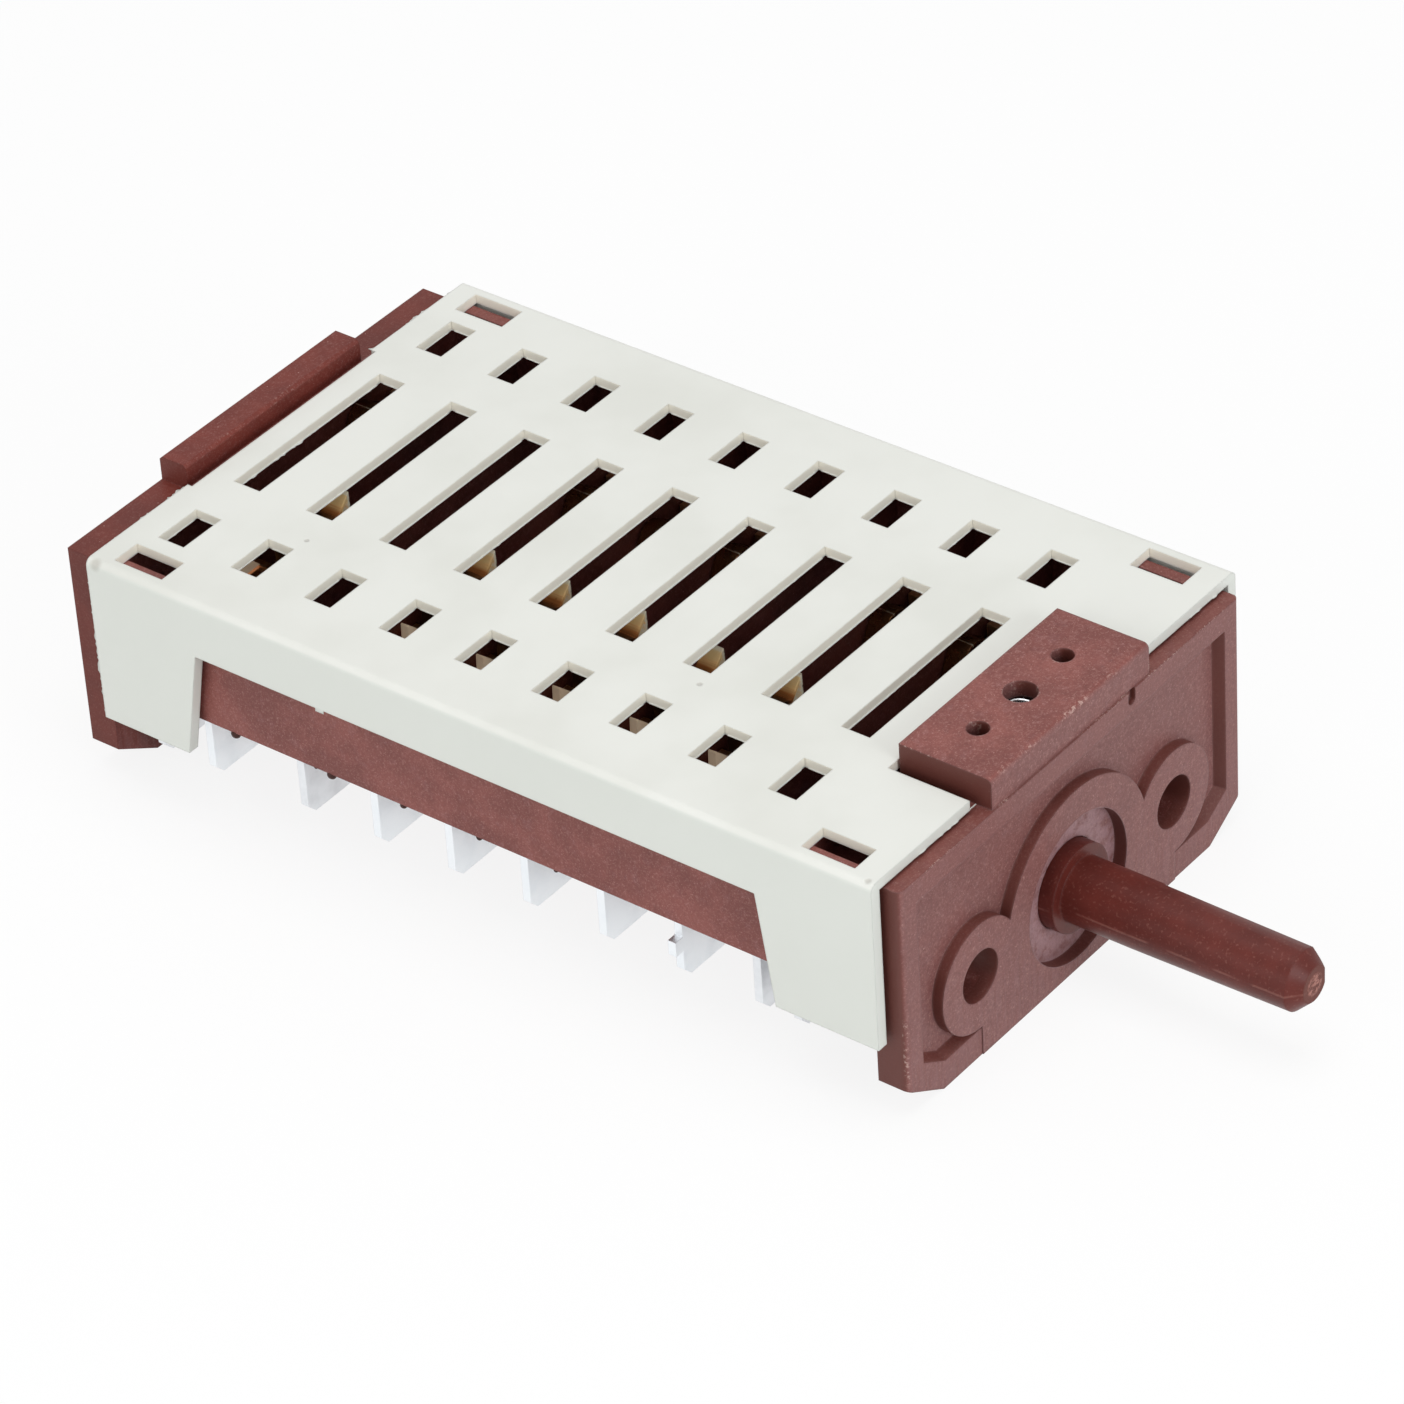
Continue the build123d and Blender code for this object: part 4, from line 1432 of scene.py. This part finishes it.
@dataclass(frozen=True)
class Detent(Part):
    """The ball over the star wheel and the coil spring that presses it down.

    The closed share is the part of the wire in each flat end of the coil.
    """

    centre_y: float = 5.18
    coil_radius: float = 1.5
    wire_radius: float = 0.22
    wire_sides: int = 10
    turns: float = 7.0
    points_in_turn: int = 24
    closed_share: float = 0.12
    travel: float = 1.1

    def build(self) -> None:
        """Dresses the ball and winds the smooth coil that stands for the plain one."""
        steel = SheetMetal("detent steel", Plain(srgb(206, 208, 210)), srgb(150, 150, 150),
                           roughness=0.16, drawn=Drawn.EVEN, tarnish_amount=0.3).build()
        self.dress(["detent_ball", "detent_spring"], steel)
        low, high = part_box("detent_spring")
        coil = self._coil(low[2] / MM + self.wire_radius, high[2] / MM - self.wire_radius, steel)
        self.place(coil, "detent_steel")
        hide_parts("detent_spring")
        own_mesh(coil)

    def _path(self, low: float, high: float) -> list[Vector]:
        """Middle line of the wire.

        Args:
            low: Height at the lower end, in millimetres.
            high: Height at the upper end, in millimetres.

        Returns:
            Points from the lower end to the upper, in metres.
        """
        count = int(self.turns * self.points_in_turn)
        path = []
        for index in range(count + 1):
            share = index / count
            rise = min(1.0, max(0.0, (share - self.closed_share) / (1 - 2 * self.closed_share)))
            angle = 2 * math.pi * self.turns * share
            path.append(Vector((
                self.coil_radius * math.cos(angle),
                self.centre_y + self.coil_radius * math.sin(angle),
                low + (high - low) * rise,
            )) * MM)
        return path

    def _coil(self, low: float, high: float, material: bpy.types.Material) -> bpy.types.Object:
        """Winds a coil with closed end turns.

        Args:
            low: Height of the wire's middle at the lower end, in millimetres.
            high: Height at the upper end, in millimetres.
            material: Finish of the wire.

        Returns:
            The new mesh object.
        """
        shape = bmesh.new()
        path = self._path(low, high)
        sections = []
        for index, point in enumerate(path):
            ahead = path[min(index + 1, len(path) - 1)] - path[max(index - 1, 0)]
            out = Vector((point.x, point.y - self.centre_y * MM, 0)).normalized()
            up = ahead.normalized().cross(out).normalized()
            section = []
            for ring in range(self.wire_sides):
                turn = 2 * math.pi * ring / self.wire_sides
                offset = (out * math.cos(turn) + up * math.sin(turn)) * self.wire_radius * MM
                section.append(shape.verts.new(point + offset))
            sections.append(section)
        skin_tube(shape, sections, smooth=True)
        return mesh_piece("detent_coil", shape, material)


@dataclass(frozen=True)
class Lamp:
    """One soft area light, aimed at the switch. Its place and size are in metres."""

    name: str
    place: Point
    size: float
    power: float
    colour: tuple[float, float, float] = (1.0, 1.0, 1.0)

    def build(self, target: Vector) -> None:
        """Sets up the light.

        Args:
            target: Point that it shines at.
        """
        data = bpy.data.lights.new(self.name, "AREA")
        data.shape = "DISK"
        data.size = self.size
        data.energy = self.power
        data.color = self.colour
        lamp = bpy.data.objects.new(self.name, data)
        lamp.location = self.place
        lamp.rotation_euler = (target - Vector(self.place)).to_track_quat("-Z", "Y").to_euler()
        bpy.context.scene.collection.objects.link(lamp)


@dataclass(frozen=True)
class Studio:
    """White floor and surroundings, and three soft lamps, which aim at a point in metres."""

    floor_z: float = -8.22
    floor_half: float = 900.0
    paper: Colour = srgb(246, 246, 246)
    paper_shade: Tint = Tint(srgb(240, 240, 241), 0.3)
    paper_grain: Noise = Noise(900)
    paper_roughness: float = 0.9
    paper_glow: float = 0.86
    fill: float = 0.55
    aim: Point = (0.0, 0.04, 0.005)
    lamps: tuple[Lamp, ...] = (
        Lamp("top lamp", (-0.05, -0.02, 0.62), 0.45, 1.5),
        Lamp("front lamp", (-0.12, -0.62, 0.24), 0.35, 1.5, (0.95, 0.97, 1.0)),
        Lamp("side lamp", (-0.6, 0.05, 0.22), 0.4, 0.82),
    )

    def build(self) -> None:
        """Builds the floor, the surroundings and the lamps."""
        shape = bmesh.new()
        half = self.floor_half * MM
        corners = [(-half, -half), (half, -half), (half, half), (-half, half)]
        shape.faces.new([shape.verts.new((x, y, self.floor_z * MM)) for x, y in corners])
        floor = mesh_piece("studio_floor", shape, self._paper())
        self._surroundings()
        for lamp in self.lamps:
            lamp.build(Vector(self.aim))

    def _paper(self) -> bpy.types.Material:
        """Makes paper that looks white to the camera and in reflections and keeps the shadow.

        Returns:
            The floor's material.
        """
        g = Graph(bpy.data.materials.new("white paper"))
        colour = g.tint(self.paper, g.noise(Spot(g).place, self.paper_grain), self.paper_shade)
        sheet = g.node("ShaderNodeBsdfPrincipled", sockets={
            "Base Color": colour,
            "Roughness": self.paper_roughness,
        })
        glow = g.node("ShaderNodeEmission", sockets={"Color": WHITE, "Strength": 1.0})
        g.output("ShaderNodeOutputMaterial", g.mix_shaders(g.seen() * self.paper_glow, sheet, glow))
        return g.owner

    def _surroundings(self) -> None:
        """Sets even light from all round, seen as white by the camera and in reflections."""
        g = Graph(bpy.data.worlds.new("studio"))
        lit, shown = (
            g.node("ShaderNodeBackground", sockets={"Color": WHITE, "Strength": strength})
            for strength in (self.fill, 1.0)
        )
        g.output("ShaderNodeOutputWorld", g.mix_shaders(g.seen(), lit, shown))
        bpy.context.scene.world = g.owner


@dataclass(frozen=True)
class PhotoCamera:
    """Camera at the photograph's viewing angle, with its angles in degrees."""

    target: Point = (10.434, 47.448, -6.484)
    azimuth: float = -50.476
    elevation: float = 36.191
    roll: float = -3.832
    distance: float = 600.995
    focal_pixels: float = 6852.5
    image_pixels: float = 1404.0
    sensor: float = 36.0
    nearest: float = 10.0
    farthest: float = 10000.0

    def build(self) -> None:
        """Sets up the camera and makes it the scene's own."""
        turn, rise = math.radians(self.azimuth), math.radians(self.elevation)
        outward = Vector((
            math.sin(turn) * math.cos(rise),
            -math.cos(turn) * math.cos(rise),
            math.sin(rise),
        ))
        right = (-outward).cross(Vector((0, 0, 1))).normalized()
        up = right.cross(-outward).normalized()
        lean = math.radians(self.roll)
        across = right * math.cos(lean) + up * math.sin(lean)
        above = up * math.cos(lean) - right * math.sin(lean)
        data = bpy.data.cameras.new("photo camera")
        data.sensor_fit = "HORIZONTAL"
        data.sensor_width = self.sensor
        data.lens = self.sensor * self.focal_pixels / self.image_pixels
        data.clip_start = self.nearest * MM
        data.clip_end = self.farthest * MM
        camera = bpy.data.objects.new("photo camera", data)
        turned = Matrix((across, above, outward)).transposed().to_4x4()
        place = (Vector(self.target) + outward * self.distance) * MM
        camera.matrix_world = Matrix.Translation(place) @ turned
        bpy.context.scene.collection.objects.link(camera)
        bpy.context.scene.camera = camera


def main() -> None:
    """Builds every sub-assembly, the studio and the camera."""
    logging.basicConfig(level=logging.INFO, format="%(message)s")
    bpy.context.scene.view_settings.view_transform = "Standard"
    for sub_assembly in (Mouldings(), SlottedCover(), TurningShaft(), Conductors(), Detent()):
        sub_assembly.build()
        log.info("finished %s", type(sub_assembly).__name__)
    Studio().build()
    PhotoCamera().build()


if __name__ == "__main__":
    main()
